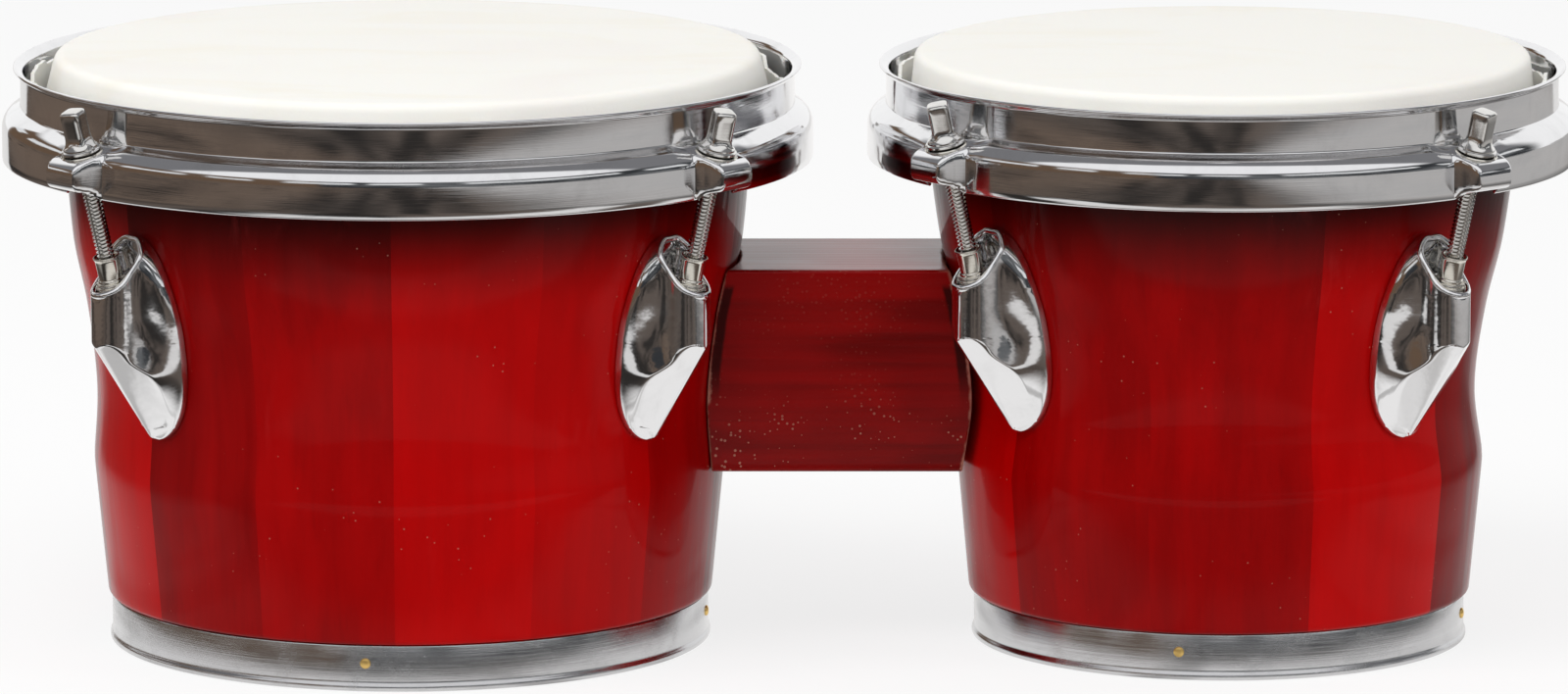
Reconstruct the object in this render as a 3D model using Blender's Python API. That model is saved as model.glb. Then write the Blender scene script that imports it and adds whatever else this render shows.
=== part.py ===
"""Bongos: a large and a small stave drum joined by a wooden block.

Each drum has a tapered wooden shell on a metal base ring. A rawhide head is lapped round a steel
flesh hoop, and a pressed rim pulls it down over the shell with four tension rods. Each rod leans
outward, passes through a pressed ear of the rim and screws into a nut in a cast lug.

The frame has its origin under the middle of the instrument. X runs from the large drum to the
small one, the player's audience sits on the -Y side, and Z points up. Sizes are in metres.
"""

import math
from dataclasses import dataclass

import bmesh
import bpy
from mathutils import Matrix, Vector

# Clearances between pieces that touch
GAP = 0.0003
SCREW_GAP = 0.0004

# Sides of the round pieces
DIVISIONS = 28
SMALL_DIVISIONS = 12
WASHER_DIVISIONS = 10
SCREW_DIVISIONS = 8

# Whole instrument
BETWEEN_RIMS = 0.0170
HEAD_TOP = 0.1622

# Large drum: its bearing edge, how far the rest of its outline lies inside that edge, how far
# the rim's band lies outside it, and from that band to the rod in an ear
LARGE_TOP_RADIUS = 0.09525
LARGE_SHOULDER_INSET = 0.00335
LARGE_FLARE_INSET = 0.00715
LARGE_WAIST_INSET = 0.00955
LARGE_HIP_INSET = 0.00855
LARGE_FOOT_INSET = 0.01205
LARGE_RING_INSET = 0.01315
LARGE_RIM_REACH = 0.00955
LARGE_EAR_REACH = 0.0062
LARGE_LUG_SPREAD = math.radians(49.7)
LARGE_LUG_TURN = math.radians(0.0)

# Small drum, in the same way
SMALL_TOP_RADIUS = 0.0831
SMALL_SHOULDER_INSET = 0.0057
SMALL_FLARE_INSET = 0.0103
SMALL_WAIST_INSET = 0.0132
SMALL_HIP_INSET = 0.0108
SMALL_FOOT_INSET = 0.0141
SMALL_RING_INSET = 0.0156
SMALL_RIM_REACH = 0.0078
SMALL_EAR_REACH = 0.0059
SMALL_LUG_SPREAD = math.radians(47.1)
SMALL_LUG_TURN = math.radians(-4.8)

# Shell, heights above the floor of the turning points of its outline
SHELL_WALL = 0.0075
HIP_HEIGHT = 0.0506
WAIST_HEIGHT = 0.0698
FLARE_HEIGHT = 0.0928
SHOULDER_HEIGHT = 0.1125
BEARING_EDGE_WIDTH = 0.0033
BEARING_BEVEL_DEPTH = 0.0052
FOOT_ROUND = 0.0015

# Base ring
RING_HEIGHT = 0.0125
RING_SHEET = 0.0010
RING_BEAD = 0.0006

# Head of rawhide, and the wire hoop that it is lapped round. Depths are below the head's top
SKIN = 0.0010
SKIN_SHOULDER = 0.0024
SKIN_TAIL_DEPTH = 0.0080
HOOP_WIRE_RADIUS = 0.0018
HOOP_DEPTH = 0.0216
HOOP_INSIDE_BAND = 0.0015
HOOP_SIDES = 6
TAIL_INSIDE_BAND = 0.0027

# Rim of pressed sheet. Depths are below the head's top
RIM_SHEET = 0.0011
RIM_TOP_DEPTH = 0.0047
RIM_BOTTOM_DEPTH = 0.0297
LIP_FLARE = 0.0021
LIP_HEIGHT = 0.0034
SHOULDER_STEP = 0.0051
SHOULDER_TOP_DEPTH = 0.0150
SHOULDER_BOTTOM_DEPTH = 0.0201

# Ears of the rim, and the room that a rod has in its slot
EAR_FLAT_WIDTH = 0.0120
EAR_FOOT_WIDTH = 0.0218
EAR_SHELF_REACH = 0.0058
EAR_ROUND = 0.0015
EAR_FACE_DEPTH = 0.0182
EAR_BOTTOM_DEPTH = 0.0250
EAR_DIMPLE = 0.0005
EAR_SLOT_ROOM_ACROSS = 0.0005
EAR_SLOT_ROOM_ALONG = 0.0013
EAR_SLOT_SHIFT = 0.0007
EAR_SLOT_DEPTH = 0.0042
EAR_CLEAR = math.radians(2.0)

# Tension rod: heights along its own axis are from the ear's top face. It reaches past the nut's
# seat by its engagement
ROD_LEAN = math.radians(15.0)
ROD_RADIUS = 0.0024
ROD_ENGAGEMENT = 0.0138
ROD_END_ROOM = 0.0030
ROD_FLANGE_RADIUS = 0.0053
ROD_FLANGE_THICKNESS = 0.0011
ROD_BELL_HEIGHT = 0.0024
ROD_HEAD_WIDTH = 0.0058
ROD_HEAD_HEIGHT = 0.0066
ROD_CHAMFER = 0.0007
ROD_CORNER = 0.0006
ROD_BELL_TOP_RADIUS = 0.0033
WASHER_RADIUS = 0.0058
WASHER_THICKNESS = 0.0011

# Threaded nut in the lug. Walls are outside its bore, heights along its axis are from its seat
NUT_SHANK_WALL = 0.0007
NUT_SHANK_LENGTH = 0.0075
NUT_FLANGE_WIDTH = 0.0017
NUT_FLANGE_THICKNESS = 0.0017
NUT_FLANGE_EDGE = 0.0013
NUT_SLEEVE_WALL = 0.0005
NUT_HEIGHT = 0.0098
NUT_LIP = 0.0004

# Cast lug. Rises and drops are from the nut's seat, levels are shares of the lug's half height
# from its middle, and bends and stations shape its sides between the foot and the boss
SEAT_HEIGHT = 0.1071
LUG_TOP_RISE = 0.0138
LUG_BOTTOM_DROP = 0.0452
LUG_HALF_WIDTH = 0.0130
LUG_EDGE = 0.0015
LUG_SQUARENESS = 2.6
LUG_LEVELS = (-0.985, -0.86, -0.50, 0.10, 0.58, 0.86, 0.985)
LUG_SIDE_BEND = 0.45
LUG_SIDE_TUCK = 0.10
LUG_SIDE_STATIONS = (0.30, 0.66)
LUG_WALL = 0.0011
POCKET_ROOM = 0.0006
BOSS_CORNER = math.radians(48)
BOSS_SHARE = 0.85
HOOD_RISE = 0.0134
HOOD_PROUD = 0.0019
BOSS_RIM_DROP = 0.0004
FACET_DROP = 0.0155
TIP_DROP = 0.0435
TIP_PROUD = 0.0032

# Screws that hold the lugs, and bolts that hold the block, both put in from inside the shell
SCREW_HEAD_TAPER = 0.75
LUG_SCREW_DROP = 0.0283
LUG_SCREW_RADIUS = 0.0022
LUG_SCREW_HOLD = 0.0070
LUG_SCREW_HEAD_RADIUS = 0.0041
LUG_SCREW_HEAD_HEIGHT = 0.0024
BLOCK_BOLT_RADIUS = 0.0028
BLOCK_BOLT_HOLD = 0.0210
BLOCK_BOLT_HEAD_RADIUS = 0.0053
BLOCK_BOLT_HEAD_HEIGHT = 0.0036
BLOCK_BOLT_MARGIN = 0.0138

# Block between the drums
BLOCK_TOP = 0.1055
BLOCK_BOTTOM = 0.0497
BLOCK_HALF_DEPTH = 0.0267
BLOCK_ARRIS = 0.0008
BLOCK_HOLLOW_RADIUS = 0.2150
BLOCK_HOLLOW_STEPS = 3
BLOCK_HOLLOW_EXCESS = 0.0053

# Heights and radii that follow from the sizes above
RIM_TOP = HEAD_TOP - RIM_TOP_DEPTH
RIM_BOTTOM = HEAD_TOP - RIM_BOTTOM_DEPTH
SHOULDER_TOP = HEAD_TOP - SHOULDER_TOP_DEPTH
SHOULDER_BOTTOM = HEAD_TOP - SHOULDER_BOTTOM_DEPTH
EAR_FACE_HEIGHT = HEAD_TOP - EAR_FACE_DEPTH
EAR_BOTTOM = HEAD_TOP - EAR_BOTTOM_DEPTH
HOOP_HEIGHT = HEAD_TOP - HOOP_DEPTH
SKIN_TAIL_HEIGHT = HEAD_TOP - SKIN_TAIL_DEPTH
LUG_TOP = SEAT_HEIGHT + LUG_TOP_RISE
LUG_BOTTOM = SEAT_HEIGHT - LUG_BOTTOM_DROP
HOOD_HEIGHT = SEAT_HEIGHT + HOOD_RISE
BOSS_RIM_HEIGHT = SEAT_HEIGHT - BOSS_RIM_DROP
FACET_HEIGHT = SEAT_HEIGHT - FACET_DROP
TIP_HEIGHT = SEAT_HEIGHT - TIP_DROP
LUG_SCREW_HEIGHT = SEAT_HEIGHT - LUG_SCREW_DROP
BLOCK_BOLT_HEIGHTS = (BLOCK_BOTTOM + BLOCK_BOLT_MARGIN, BLOCK_TOP - BLOCK_BOLT_MARGIN)
ROD_LENGTH = (EAR_FACE_HEIGHT - SEAT_HEIGHT) / math.cos(ROD_LEAN) + ROD_ENGAGEMENT
NUT_BORE = ROD_RADIUS + SCREW_GAP
NUT_SHANK_RADIUS = NUT_BORE + NUT_SHANK_WALL
NUT_FLANGE_RADIUS = NUT_BORE + NUT_FLANGE_WIDTH
NUT_SLEEVE_RADIUS = NUT_BORE + NUT_SLEEVE_WALL
POCKET_RADIUS = NUT_FLANGE_RADIUS + POCKET_ROOM
BOSS_RADIUS = POCKET_RADIUS + LUG_WALL


@dataclass
class Drum:
    """One drum: its name, its place along X and the sizes that differ between the two."""

    name: str
    x: float
    block_side: int
    top_radius: float
    shoulder_radius: float
    flare_radius: float
    waist_radius: float
    hip_radius: float
    foot_radius: float
    ring_radius: float
    rim_radius: float
    ear_reach: float
    lug_spread: float
    lug_turn: float

    def outline(self):
        """Height and radius of the turning points of the shell's outer outline."""
        return (
            (RING_HEIGHT + GAP + FOOT_ROUND, self.foot_radius),
            (HIP_HEIGHT, self.hip_radius),
            (WAIST_HEIGHT, self.waist_radius),
            (FLARE_HEIGHT, self.flare_radius),
            (SHOULDER_HEIGHT, self.shoulder_radius),
            (shell_top() - BEARING_EDGE_WIDTH, self.top_radius),
        )

    def lug_azimuths(self):
        """Angles of the four lugs from the front, growing toward the small drum's side."""
        spread = self.lug_spread
        angles = (-spread, spread, math.pi - spread, math.pi + spread)
        return [angle + self.lug_turn for angle in angles]

    def ear_radius(self):
        """Distance from the drum's axis to where a rod crosses its ear's top face."""
        return self.rim_radius + self.ear_reach

    def boss_radius(self):
        """Distance from the drum's axis to the middle of a lug's boss."""
        return self.ear_radius() - (EAR_FACE_HEIGHT - SEAT_HEIGHT) * math.tan(ROD_LEAN)


def shell_top():
    """Height of the bearing edge, just under the skin."""
    return HEAD_TOP - SKIN - GAP


def smooth_step(share):
    """Ease from 0 to 1, level at both ends."""
    share = min(max(share, 0.0), 1.0)
    return share * share * (3.0 - 2.0 * share)


def curve_through(points, height):
    """Radius at a height on the smooth curve through (height, radius) points."""
    last = len(points) - 1
    index = 0
    while index < last - 1 and height > points[index + 1][0]:
        index += 1
    (low_z, low_r), (high_z, high_r) = points[index], points[index + 1]
    span = high_z - low_z
    slopes = []
    for end in (index, index + 1):
        before, after = points[max(end - 1, 0)], points[min(end + 1, last)]
        slopes.append((after[1] - before[1]) / (after[0] - before[0]))
    share = (height - low_z) / span
    square, cube = share * share, share * share * share
    return (
        low_r * (2 * cube - 3 * square + 1)
        + slopes[0] * span * (cube - 2 * square + share)
        + high_r * (3 * square - 2 * cube)
        + slopes[1] * span * (cube - square)
    )


def shell_radius(drum, height):
    """Outer radius of a shell: a straight taper up to the hip, then a waist and a flare."""
    points = drum.outline()
    foot, hip = points[0], points[1]
    if height <= hip[0]:
        share = (height - foot[0]) / (hip[0] - foot[0])
        return foot[1] + share * (hip[1] - foot[1])
    return curve_through(points[1:], height)


def outer_heights():
    """Heights of the rings on the shell's outer side, from its foot up to its bearing edge."""
    foot = RING_HEIGHT + GAP + FOOT_ROUND
    edge = shell_top() - BEARING_EDGE_WIDTH
    heights = [foot, HIP_HEIGHT]
    curved = (HIP_HEIGHT, WAIST_HEIGHT, FLARE_HEIGHT, SHOULDER_HEIGHT, edge)
    for low, high in zip(curved, curved[1:]):
        heights += [(low + high) / 2, high]
    return heights


def material(name, color, roughness, metallic=0.0):
    """A plain Principled material in the piece's colour."""
    made = bpy.data.materials.new(name)
    made.use_nodes = True
    shader = made.node_tree.nodes["Principled BSDF"]
    shader.inputs["Base Color"].default_value = (*color, 1.0)
    shader.inputs["Roughness"].default_value = roughness
    shader.inputs["Metallic"].default_value = metallic
    made.diffuse_color = (*color, 1.0)
    return made


def place(name, mesh, finish, parent=None, matrix=None, smooth=math.radians(35)):
    """Put a mesh in the scene as a named piece of one finish."""
    piece = bpy.data.objects.new(name, mesh)
    bpy.context.collection.objects.link(piece)
    if finish and not mesh.materials:
        mesh.materials.append(finish)
    mesh.shade_smooth()
    mesh.set_sharp_from_angle(angle=smooth)
    piece.parent = parent
    if matrix is not None:
        piece.matrix_basis = matrix
    return piece


def mesh_from_rings(name, rings, closed_section=False):
    """Skin a list of equal rings of points. The ends are capped, or joined to each other."""
    shape = bmesh.new()
    rows = [[shape.verts.new(point) for point in ring] for ring in rings]
    count = len(rows[0])
    pairs = list(zip(rows, rows[1:]))
    if closed_section:
        pairs.append((rows[-1], rows[0]))
    for low, high in pairs:
        for i in range(count):
            j = (i + 1) % count
            shape.faces.new((low[i], low[j], high[j], high[i]))
    if not closed_section:
        shape.faces.new(rows[0])
        shape.faces.new(rows[-1])
    bmesh.ops.recalc_face_normals(shape, faces=shape.faces)
    mesh = bpy.data.meshes.new(name)
    shape.to_mesh(mesh)
    shape.free()
    return mesh


def circle(radius, height, divisions):
    """A ring of points round Z. The first lies on +X."""
    return [
        (radius * math.cos(2 * math.pi * i / divisions),
         radius * math.sin(2 * math.pi * i / divisions), height)
        for i in range(divisions)
    ]


def turned_ring(name, section, divisions=DIVISIONS):
    """Turn a closed section of (radius, height) points about Z."""
    return mesh_from_rings(name, [circle(r, z, divisions) for r, z in section], True)


def turned_rod(name, section, divisions):
    """Turn an open section about Z, with a flat cap at both ends."""
    return mesh_from_rings(name, [circle(r, z, divisions) for r, z in section])


def cutter(name, mesh, parent=None, matrix=None):
    """A hidden tool body that is taken away from the pieces that name it."""
    tool = bpy.data.objects.new(name, mesh)
    bpy.context.collection.objects.link(tool)
    tool.parent = parent
    if matrix is not None:
        tool.matrix_basis = matrix
    tool.hide_render = True
    tool.display_type = "WIRE"
    return tool


def cut(piece, tool):
    """Take a tool body away from a piece."""
    change = piece.modifiers.new(tool.name, "BOOLEAN")
    change.operation = "DIFFERENCE"
    change.object = tool


def at_azimuth(azimuth):
    """Turn so that +X, a piece's outward side, points at an azimuth measured from the front."""
    return Matrix.Rotation(azimuth - math.pi / 2, 4, "Z")


def radial_matrix(azimuth, radius, height):
    """Stand a piece's own Z axis outward from the drum's axis, from a radius and a height."""
    turn = Matrix.Rotation(math.pi / 2, 4, "Y")
    return at_azimuth(azimuth) @ Matrix.Translation((radius, 0.0, height)) @ turn


def rod_matrix(azimuth, radius, height):
    """Stand a piece's own Z axis along a leaning rod that passes a radius and a height."""
    lean = Matrix.Rotation(ROD_LEAN, 4, "Y")
    return at_azimuth(azimuth) @ Matrix.Translation((radius, 0.0, height)) @ lean


def shell_inner_section(drum):
    """Points of the shell's inner face from its top down to its foot."""
    rebate = drum.ring_radius - RING_SHEET - GAP
    heights = (SHOULDER_HEIGHT, FLARE_HEIGHT, WAIST_HEIGHT, HIP_HEIGHT)
    points = [(drum.top_radius - SHELL_WALL, shell_top() - BEARING_BEVEL_DEPTH)]
    points += [(shell_radius(drum, z) - SHELL_WALL, z) for z in heights]
    points.append((rebate - SHELL_WALL, 0.0))
    return points


def seat_inside_shell(drum, height, head_radius):
    """Radius at which a round head meets the many-sided inner face of the shell."""
    section = shell_inner_section(drum)
    nearest = min(r for r, z in section)
    for (high_r, high_z), (low_r, low_z) in zip(section, section[1:]):
        if low_z < height <= high_z:
            share = (height - low_z) / (high_z - low_z)
            nearest = low_r + share * (high_r - low_r)
            nearest -= head_radius * abs(high_r - low_r) / (high_z - low_z)
    flat = nearest * math.cos(math.pi / DIVISIONS)
    return flat - head_radius * head_radius / (2 * nearest) - GAP


def make_shell(drum, axis, finish):
    """Stave shell: rebated foot for the ring, hip, waist and flare, and a bevelled bearing edge."""
    rebate = drum.ring_radius - RING_SHEET - GAP
    ledge = RING_HEIGHT + GAP
    top = shell_top()
    section = [(rebate, 0.0), (rebate, ledge), (drum.foot_radius - FOOT_ROUND / 2, ledge)]
    section += [(shell_radius(drum, z), z) for z in outer_heights()]
    section += [
        (drum.top_radius - BEARING_EDGE_WIDTH / 3, top - BEARING_EDGE_WIDTH / 5),
        (drum.top_radius - BEARING_EDGE_WIDTH, top),
    ]
    section += shell_inner_section(drum)
    mesh = turned_ring(f"shell_{drum.name}", section)
    return place(f"shell_{drum.name}", mesh, finish, axis)


def make_base_ring(drum, axis, finish):
    """Band of bright metal round the foot, with a small bead along its lower edge."""
    outer, inner = drum.ring_radius, drum.ring_radius - RING_SHEET
    bead = outer + RING_BEAD
    section = [
        (inner, 0.0), (bead, 0.0), (outer, RING_BEAD * 4), (outer, RING_HEIGHT),
        (inner, RING_HEIGHT),
    ]
    mesh = turned_ring(f"base_ring_{drum.name}", section)
    return place(f"base_ring_{drum.name}", mesh, finish, axis)


def make_flesh_hoop(drum, axis, finish):
    """Wire hoop that the wet skin is lapped round."""
    radius = drum.rim_radius - HOOP_INSIDE_BAND
    section = [
        (radius + HOOP_WIRE_RADIUS * math.cos(2 * math.pi * i / HOOP_SIDES),
         HOOP_HEIGHT + HOOP_WIRE_RADIUS * math.sin(2 * math.pi * i / HOOP_SIDES))
        for i in range(HOOP_SIDES)
    ]
    mesh = turned_ring(f"flesh_hoop_{drum.name}", section)
    return place(f"flesh_hoop_{drum.name}", mesh, finish, axis)


def offset_path(path, distance):
    """Move each point of an open (radius, height) path sideways, to the left of its way."""
    moved = []
    for i, (r, z) in enumerate(path):
        before, after = path[max(i - 1, 0)], path[min(i + 1, len(path) - 1)]
        first = Vector((r - before[0], z - before[1]))
        second = Vector((after[0] - r, after[1] - z))
        directions = [way.normalized() for way in (first, second) if way.length > 1e-9]
        middle = sum(directions, Vector((0.0, 0.0))).normalized()
        stretch = distance / max(middle.dot(directions[0]), 0.5)
        moved.append((r - middle.y * stretch, z + middle.x * stretch))
    return moved


def skin_path(drum):
    """Middle of the skin in section: out over the edge, round the hoop and up inside the rim."""
    top = HEAD_TOP - SKIN / 2
    edge = drum.top_radius
    hoop = drum.rim_radius - HOOP_INSIDE_BAND
    wrap = HOOP_WIRE_RADIUS + GAP * 2 + SKIN / 2
    tail = drum.rim_radius - TAIL_INSIDE_BAND
    path = [
        (edge - SKIN_SHOULDER, top),
        (edge + SKIN_SHOULDER * 0.10, top - SKIN_SHOULDER * 0.50),
        (edge + SKIN_SHOULDER * 0.60, top - SKIN_SHOULDER * 1.50),
    ]
    for degrees in (180, 240, 300, 360, 420):
        angle = math.radians(degrees)
        path.append((hoop + wrap * math.cos(angle), HOOP_HEIGHT + wrap * math.sin(angle)))
    path.append((tail, HOOP_HEIGHT + wrap))
    path.append((tail, SKIN_TAIL_HEIGHT))
    return path


def make_head(drum, axis, finish):
    """Rawhide head, one skin from the drum's middle to its tucked edge."""
    path = skin_path(drum)
    outside = offset_path(path, SKIN / 2)
    inside = offset_path(path, -SKIN / 2)
    rings = [circle(r, z, DIVISIONS) for r, z in outside + inside[::-1]]
    mesh = mesh_from_rings(f"head_{drum.name}", rings)
    return place(f"head_{drum.name}", mesh, finish, axis)


def ear_share(drum, azimuth):
    """How far the rim's section is an ear at an azimuth: 1 on an ear's flat, 0 clear of it."""
    radius = drum.ear_radius()
    best = 0.0
    for middle in drum.lug_azimuths():
        away = abs(math.remainder(azimuth - middle, 2 * math.pi)) * radius
        fade = (EAR_FOOT_WIDTH / 2 - away) / (EAR_FOOT_WIDTH - EAR_FLAT_WIDTH) * 2
        best = max(best, smooth_step(fade))
    return best


def rim_azimuths(drum):
    """Azimuths of the rim's sections: even round the rim, and closer across each ear."""
    radius = drum.ear_radius()
    half_flat, half_foot = EAR_FLAT_WIDTH / 2, EAR_FOOT_WIDTH / 2
    steps = (0.0, half_flat, (half_flat + half_foot) / 2, half_foot)
    offsets = sorted({side * step / radius for step in steps for side in (-1, 1)})
    azimuths = [middle + offset for middle in drum.lug_azimuths() for offset in offsets]
    clear = half_foot / radius + EAR_CLEAR
    for i in range(DIVISIONS):
        azimuth = 2 * math.pi * i / DIVISIONS
        gaps = [abs(math.remainder(azimuth - middle, 2 * math.pi)) for middle in drum.lug_azimuths()]
        if min(gaps) > clear:
            azimuths.append(azimuth)
    return sorted(angle % (2 * math.pi) for angle in azimuths)


def rim_section(drum, share):
    """Rim sheet in section: outside from lip to edge, then inside back up to the lip."""
    band, sheet = drum.rim_radius, RIM_SHEET
    skirt = band + SHOULDER_STEP
    middle_z = (SHOULDER_TOP + SHOULDER_BOTTOM) / 2
    plain = [
        (band + LIP_FLARE * 0.4, RIM_TOP),
        (band + LIP_FLARE, RIM_TOP - LIP_HEIGHT * 0.3),
        (band, RIM_TOP - LIP_HEIGHT),
        (band, SHOULDER_TOP),
        (band + SHOULDER_STEP * 0.7, middle_z),
        (skirt, SHOULDER_BOTTOM),
        (skirt, RIM_BOTTOM),
        (skirt - sheet, RIM_BOTTOM),
        (skirt - sheet * 1.2, SHOULDER_BOTTOM - sheet * 0.2),
        (band - sheet, SHOULDER_TOP - sheet * 0.9),
        (band - sheet, RIM_TOP - LIP_HEIGHT * 0.2),
    ]
    fall = math.tan(ROD_LEAN)
    centre = drum.ear_radius()

    def face(radius):
        return EAR_FACE_HEIGHT - (radius - centre) * fall

    foot = band - EAR_DIMPLE
    edge = centre + EAR_SHELF_REACH
    outside = edge + EAR_ROUND
    side_z = face(edge) - EAR_ROUND
    ear = [
        plain[0], plain[1], plain[2],
        (foot, face(foot)),
        (edge, face(edge)),
        (outside, side_z),
        (outside, EAR_BOTTOM),
        (outside - sheet, EAR_BOTTOM),
        (outside - sheet * 1.4, side_z - sheet * 0.2),
        (foot - sheet * 0.3, face(foot) - sheet),
        plain[10],
    ]
    return [
        (a[0] + (b[0] - a[0]) * share, a[1] + (b[1] - a[1]) * share)
        for a, b in zip(plain, ear)
    ]


def make_rim(drum, axis, finish):
    """Pressed rim with four ears. A slot in each ear lets its leaning rod through."""
    azimuths = rim_azimuths(drum)
    sections = [rim_section(drum, ear_share(drum, azimuth)) for azimuth in azimuths]
    rings = []
    for k in range(len(sections[0])):
        rings.append([
            (section[k][0] * math.sin(azimuth), -section[k][0] * math.cos(azimuth), section[k][1])
            for section, azimuth in zip(sections, azimuths)
        ])
    mesh = mesh_from_rings(f"rim_{drum.name}", rings, True)
    rim = place(f"rim_{drum.name}", mesh, finish, axis)
    slot = turned_rod("ear_slot", [(1.0, -EAR_SLOT_DEPTH), (1.0, EAR_SLOT_DEPTH)], SCREW_DIVISIONS)
    for vertex in slot.vertices:
        vertex.co.x = vertex.co.x * (ROD_RADIUS + EAR_SLOT_ROOM_ALONG) + EAR_SLOT_SHIFT
        vertex.co.y *= ROD_RADIUS + EAR_SLOT_ROOM_ACROSS
    for number, azimuth in enumerate(drum.lug_azimuths(), 1):
        matrix = rod_matrix(azimuth, drum.ear_radius(), EAR_FACE_HEIGHT)
        cut(rim, cutter(f"ear_slot_{drum.name}_{number}", slot, axis, matrix))
    return rim


def squared(half_width, chamfer, height):
    """Twelve points of a square with cut corners, in step with a ring of twelve."""
    side = half_width - chamfer
    points = []
    for quarter in range(4):
        turn = Matrix.Rotation(quarter * math.pi / 2, 3, "Z")
        for x, y in ((half_width, 0.0), (half_width, side), (side, half_width)):
            points.append(tuple(turn @ Vector((x, y, height))))
    return points


def tension_rod_mesh():
    """Key rod: threaded stem, flange, bell and a square head. Its zero is the ear's top face."""
    seat = GAP + WASHER_THICKNESS + GAP
    flange_top = seat + ROD_FLANGE_THICKNESS
    bell_top = flange_top + ROD_BELL_HEIGHT
    top = bell_top + ROD_HEAD_HEIGHT
    half = ROD_HEAD_WIDTH / 2
    rings = [
        circle(ROD_RADIUS, -ROD_LENGTH, SMALL_DIVISIONS),
        circle(ROD_RADIUS, seat, SMALL_DIVISIONS),
        circle(ROD_FLANGE_RADIUS, seat, SMALL_DIVISIONS),
        circle(ROD_FLANGE_RADIUS, flange_top, SMALL_DIVISIONS),
        circle(ROD_BELL_TOP_RADIUS, bell_top, SMALL_DIVISIONS),
        squared(half, ROD_CORNER, bell_top + ROD_CHAMFER),
        squared(half, ROD_CORNER, top - ROD_CHAMFER),
        squared(half - ROD_CHAMFER, ROD_CORNER, top),
    ]
    return mesh_from_rings("tension_rod", rings)


def washer_mesh():
    """Flat washer under the rod's flange."""
    bore = ROD_RADIUS + SCREW_GAP
    low, high = GAP, GAP + WASHER_THICKNESS
    section = [(bore, low), (WASHER_RADIUS, low), (WASHER_RADIUS, high), (bore, high)]
    return turned_ring("washer", section, WASHER_DIVISIONS)


def lug_nut_mesh():
    """Threaded nut: shank in the lug, seating flange and a tall sleeve with a small lip."""
    section = [
        (NUT_BORE, -NUT_SHANK_LENGTH), (NUT_SHANK_RADIUS, -NUT_SHANK_LENGTH),
        (NUT_SHANK_RADIUS, GAP), (NUT_FLANGE_RADIUS, GAP), (NUT_FLANGE_RADIUS, NUT_FLANGE_EDGE),
        (NUT_SLEEVE_RADIUS, GAP + NUT_FLANGE_THICKNESS),
        (NUT_SLEEVE_RADIUS + NUT_LIP, NUT_HEIGHT), (NUT_BORE, NUT_HEIGHT),
    ]
    return turned_ring("lug_nut", section, SCREW_DIVISIONS)


def lug_section(drum, height):
    """One level section of a lug: a back that fits the shell, swept in to the round boss."""
    middle, half = (LUG_TOP + LUG_BOTTOM) / 2, (LUG_TOP - LUG_BOTTOM) / 2
    share = abs(height - middle) / half
    width = LUG_HALF_WIDTH * math.sqrt(1.0 - share ** LUG_SQUARENESS)
    boss = min(BOSS_RADIUS, width * BOSS_SHARE)
    back = shell_radius(drum, height) + GAP
    centre = drum.boss_radius()
    edge = math.sqrt(back * back - width * width)
    start = Vector((edge + LUG_EDGE, width))
    end = Vector((centre, boss))
    reach = centre - start.x
    bend_low = start + Vector((reach * LUG_SIDE_BEND, -(width - boss) * LUG_SIDE_TUCK))
    bend_high = end - Vector((reach * LUG_SIDE_BEND, 0.0))
    side = [start]
    for t in LUG_SIDE_STATIONS:
        u = 1.0 - t
        side.append(u**3 * start + 3 * u * u * t * bend_low + 3 * u * t * t * bend_high + t**3 * end)
    side.append(end)
    side.append(Vector((centre + boss * math.sin(BOSS_CORNER), boss * math.cos(BOSS_CORNER))))
    outline = [(edge, width)] + [tuple(point) for point in side]
    outline.append((centre + boss, 0.0))
    outline += [(x, -y) for x, y in reversed(outline[:-1])]
    for y in (-width / 3, width / 3):
        outline.append((math.sqrt(back * back - y * y), y))
    return [(x, y, height) for x, y in outline]


def half_space(name, point, along, size):
    """A slab whose lower face passes a point of the XZ plane and runs along a direction."""
    along = Vector((along[0], 0.0, along[1])).normalized()
    normal = Vector((-along.z, 0.0, along.x))
    middle = Vector((point[0], 0.0, point[1])) + normal * size / 2
    frame = Matrix((along, Vector((0.0, 1.0, 0.0)), normal)).transposed().to_4x4()
    shape = bmesh.new()
    bmesh.ops.create_cube(shape, size=size, matrix=Matrix.Translation(middle) @ frame)
    bmesh.ops.recalc_face_normals(shape, faces=shape.faces)
    mesh = bpy.data.meshes.new(name)
    shape.to_mesh(mesh)
    shape.free()
    return mesh


def apply_cuts(mesh, tools):
    """Return the mesh that is left of a mesh after its tool bodies are taken away."""
    piece = bpy.data.objects.new("raw", mesh)
    bpy.context.collection.objects.link(piece)
    bodies = [cutter(f"raw_tool_{i}", tool) for i, tool in enumerate(tools)]
    for body in bodies:
        cut(piece, body)
    seen = piece.evaluated_get(bpy.context.evaluated_depsgraph_get())
    result = bpy.data.meshes.new_from_object(seen)
    for thing in [piece] + bodies:
        bpy.data.objects.remove(thing)
    return result


def moved(mesh, matrix):
    """Move a mesh's points by a matrix."""
    mesh.transform(matrix)
    return mesh


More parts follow.
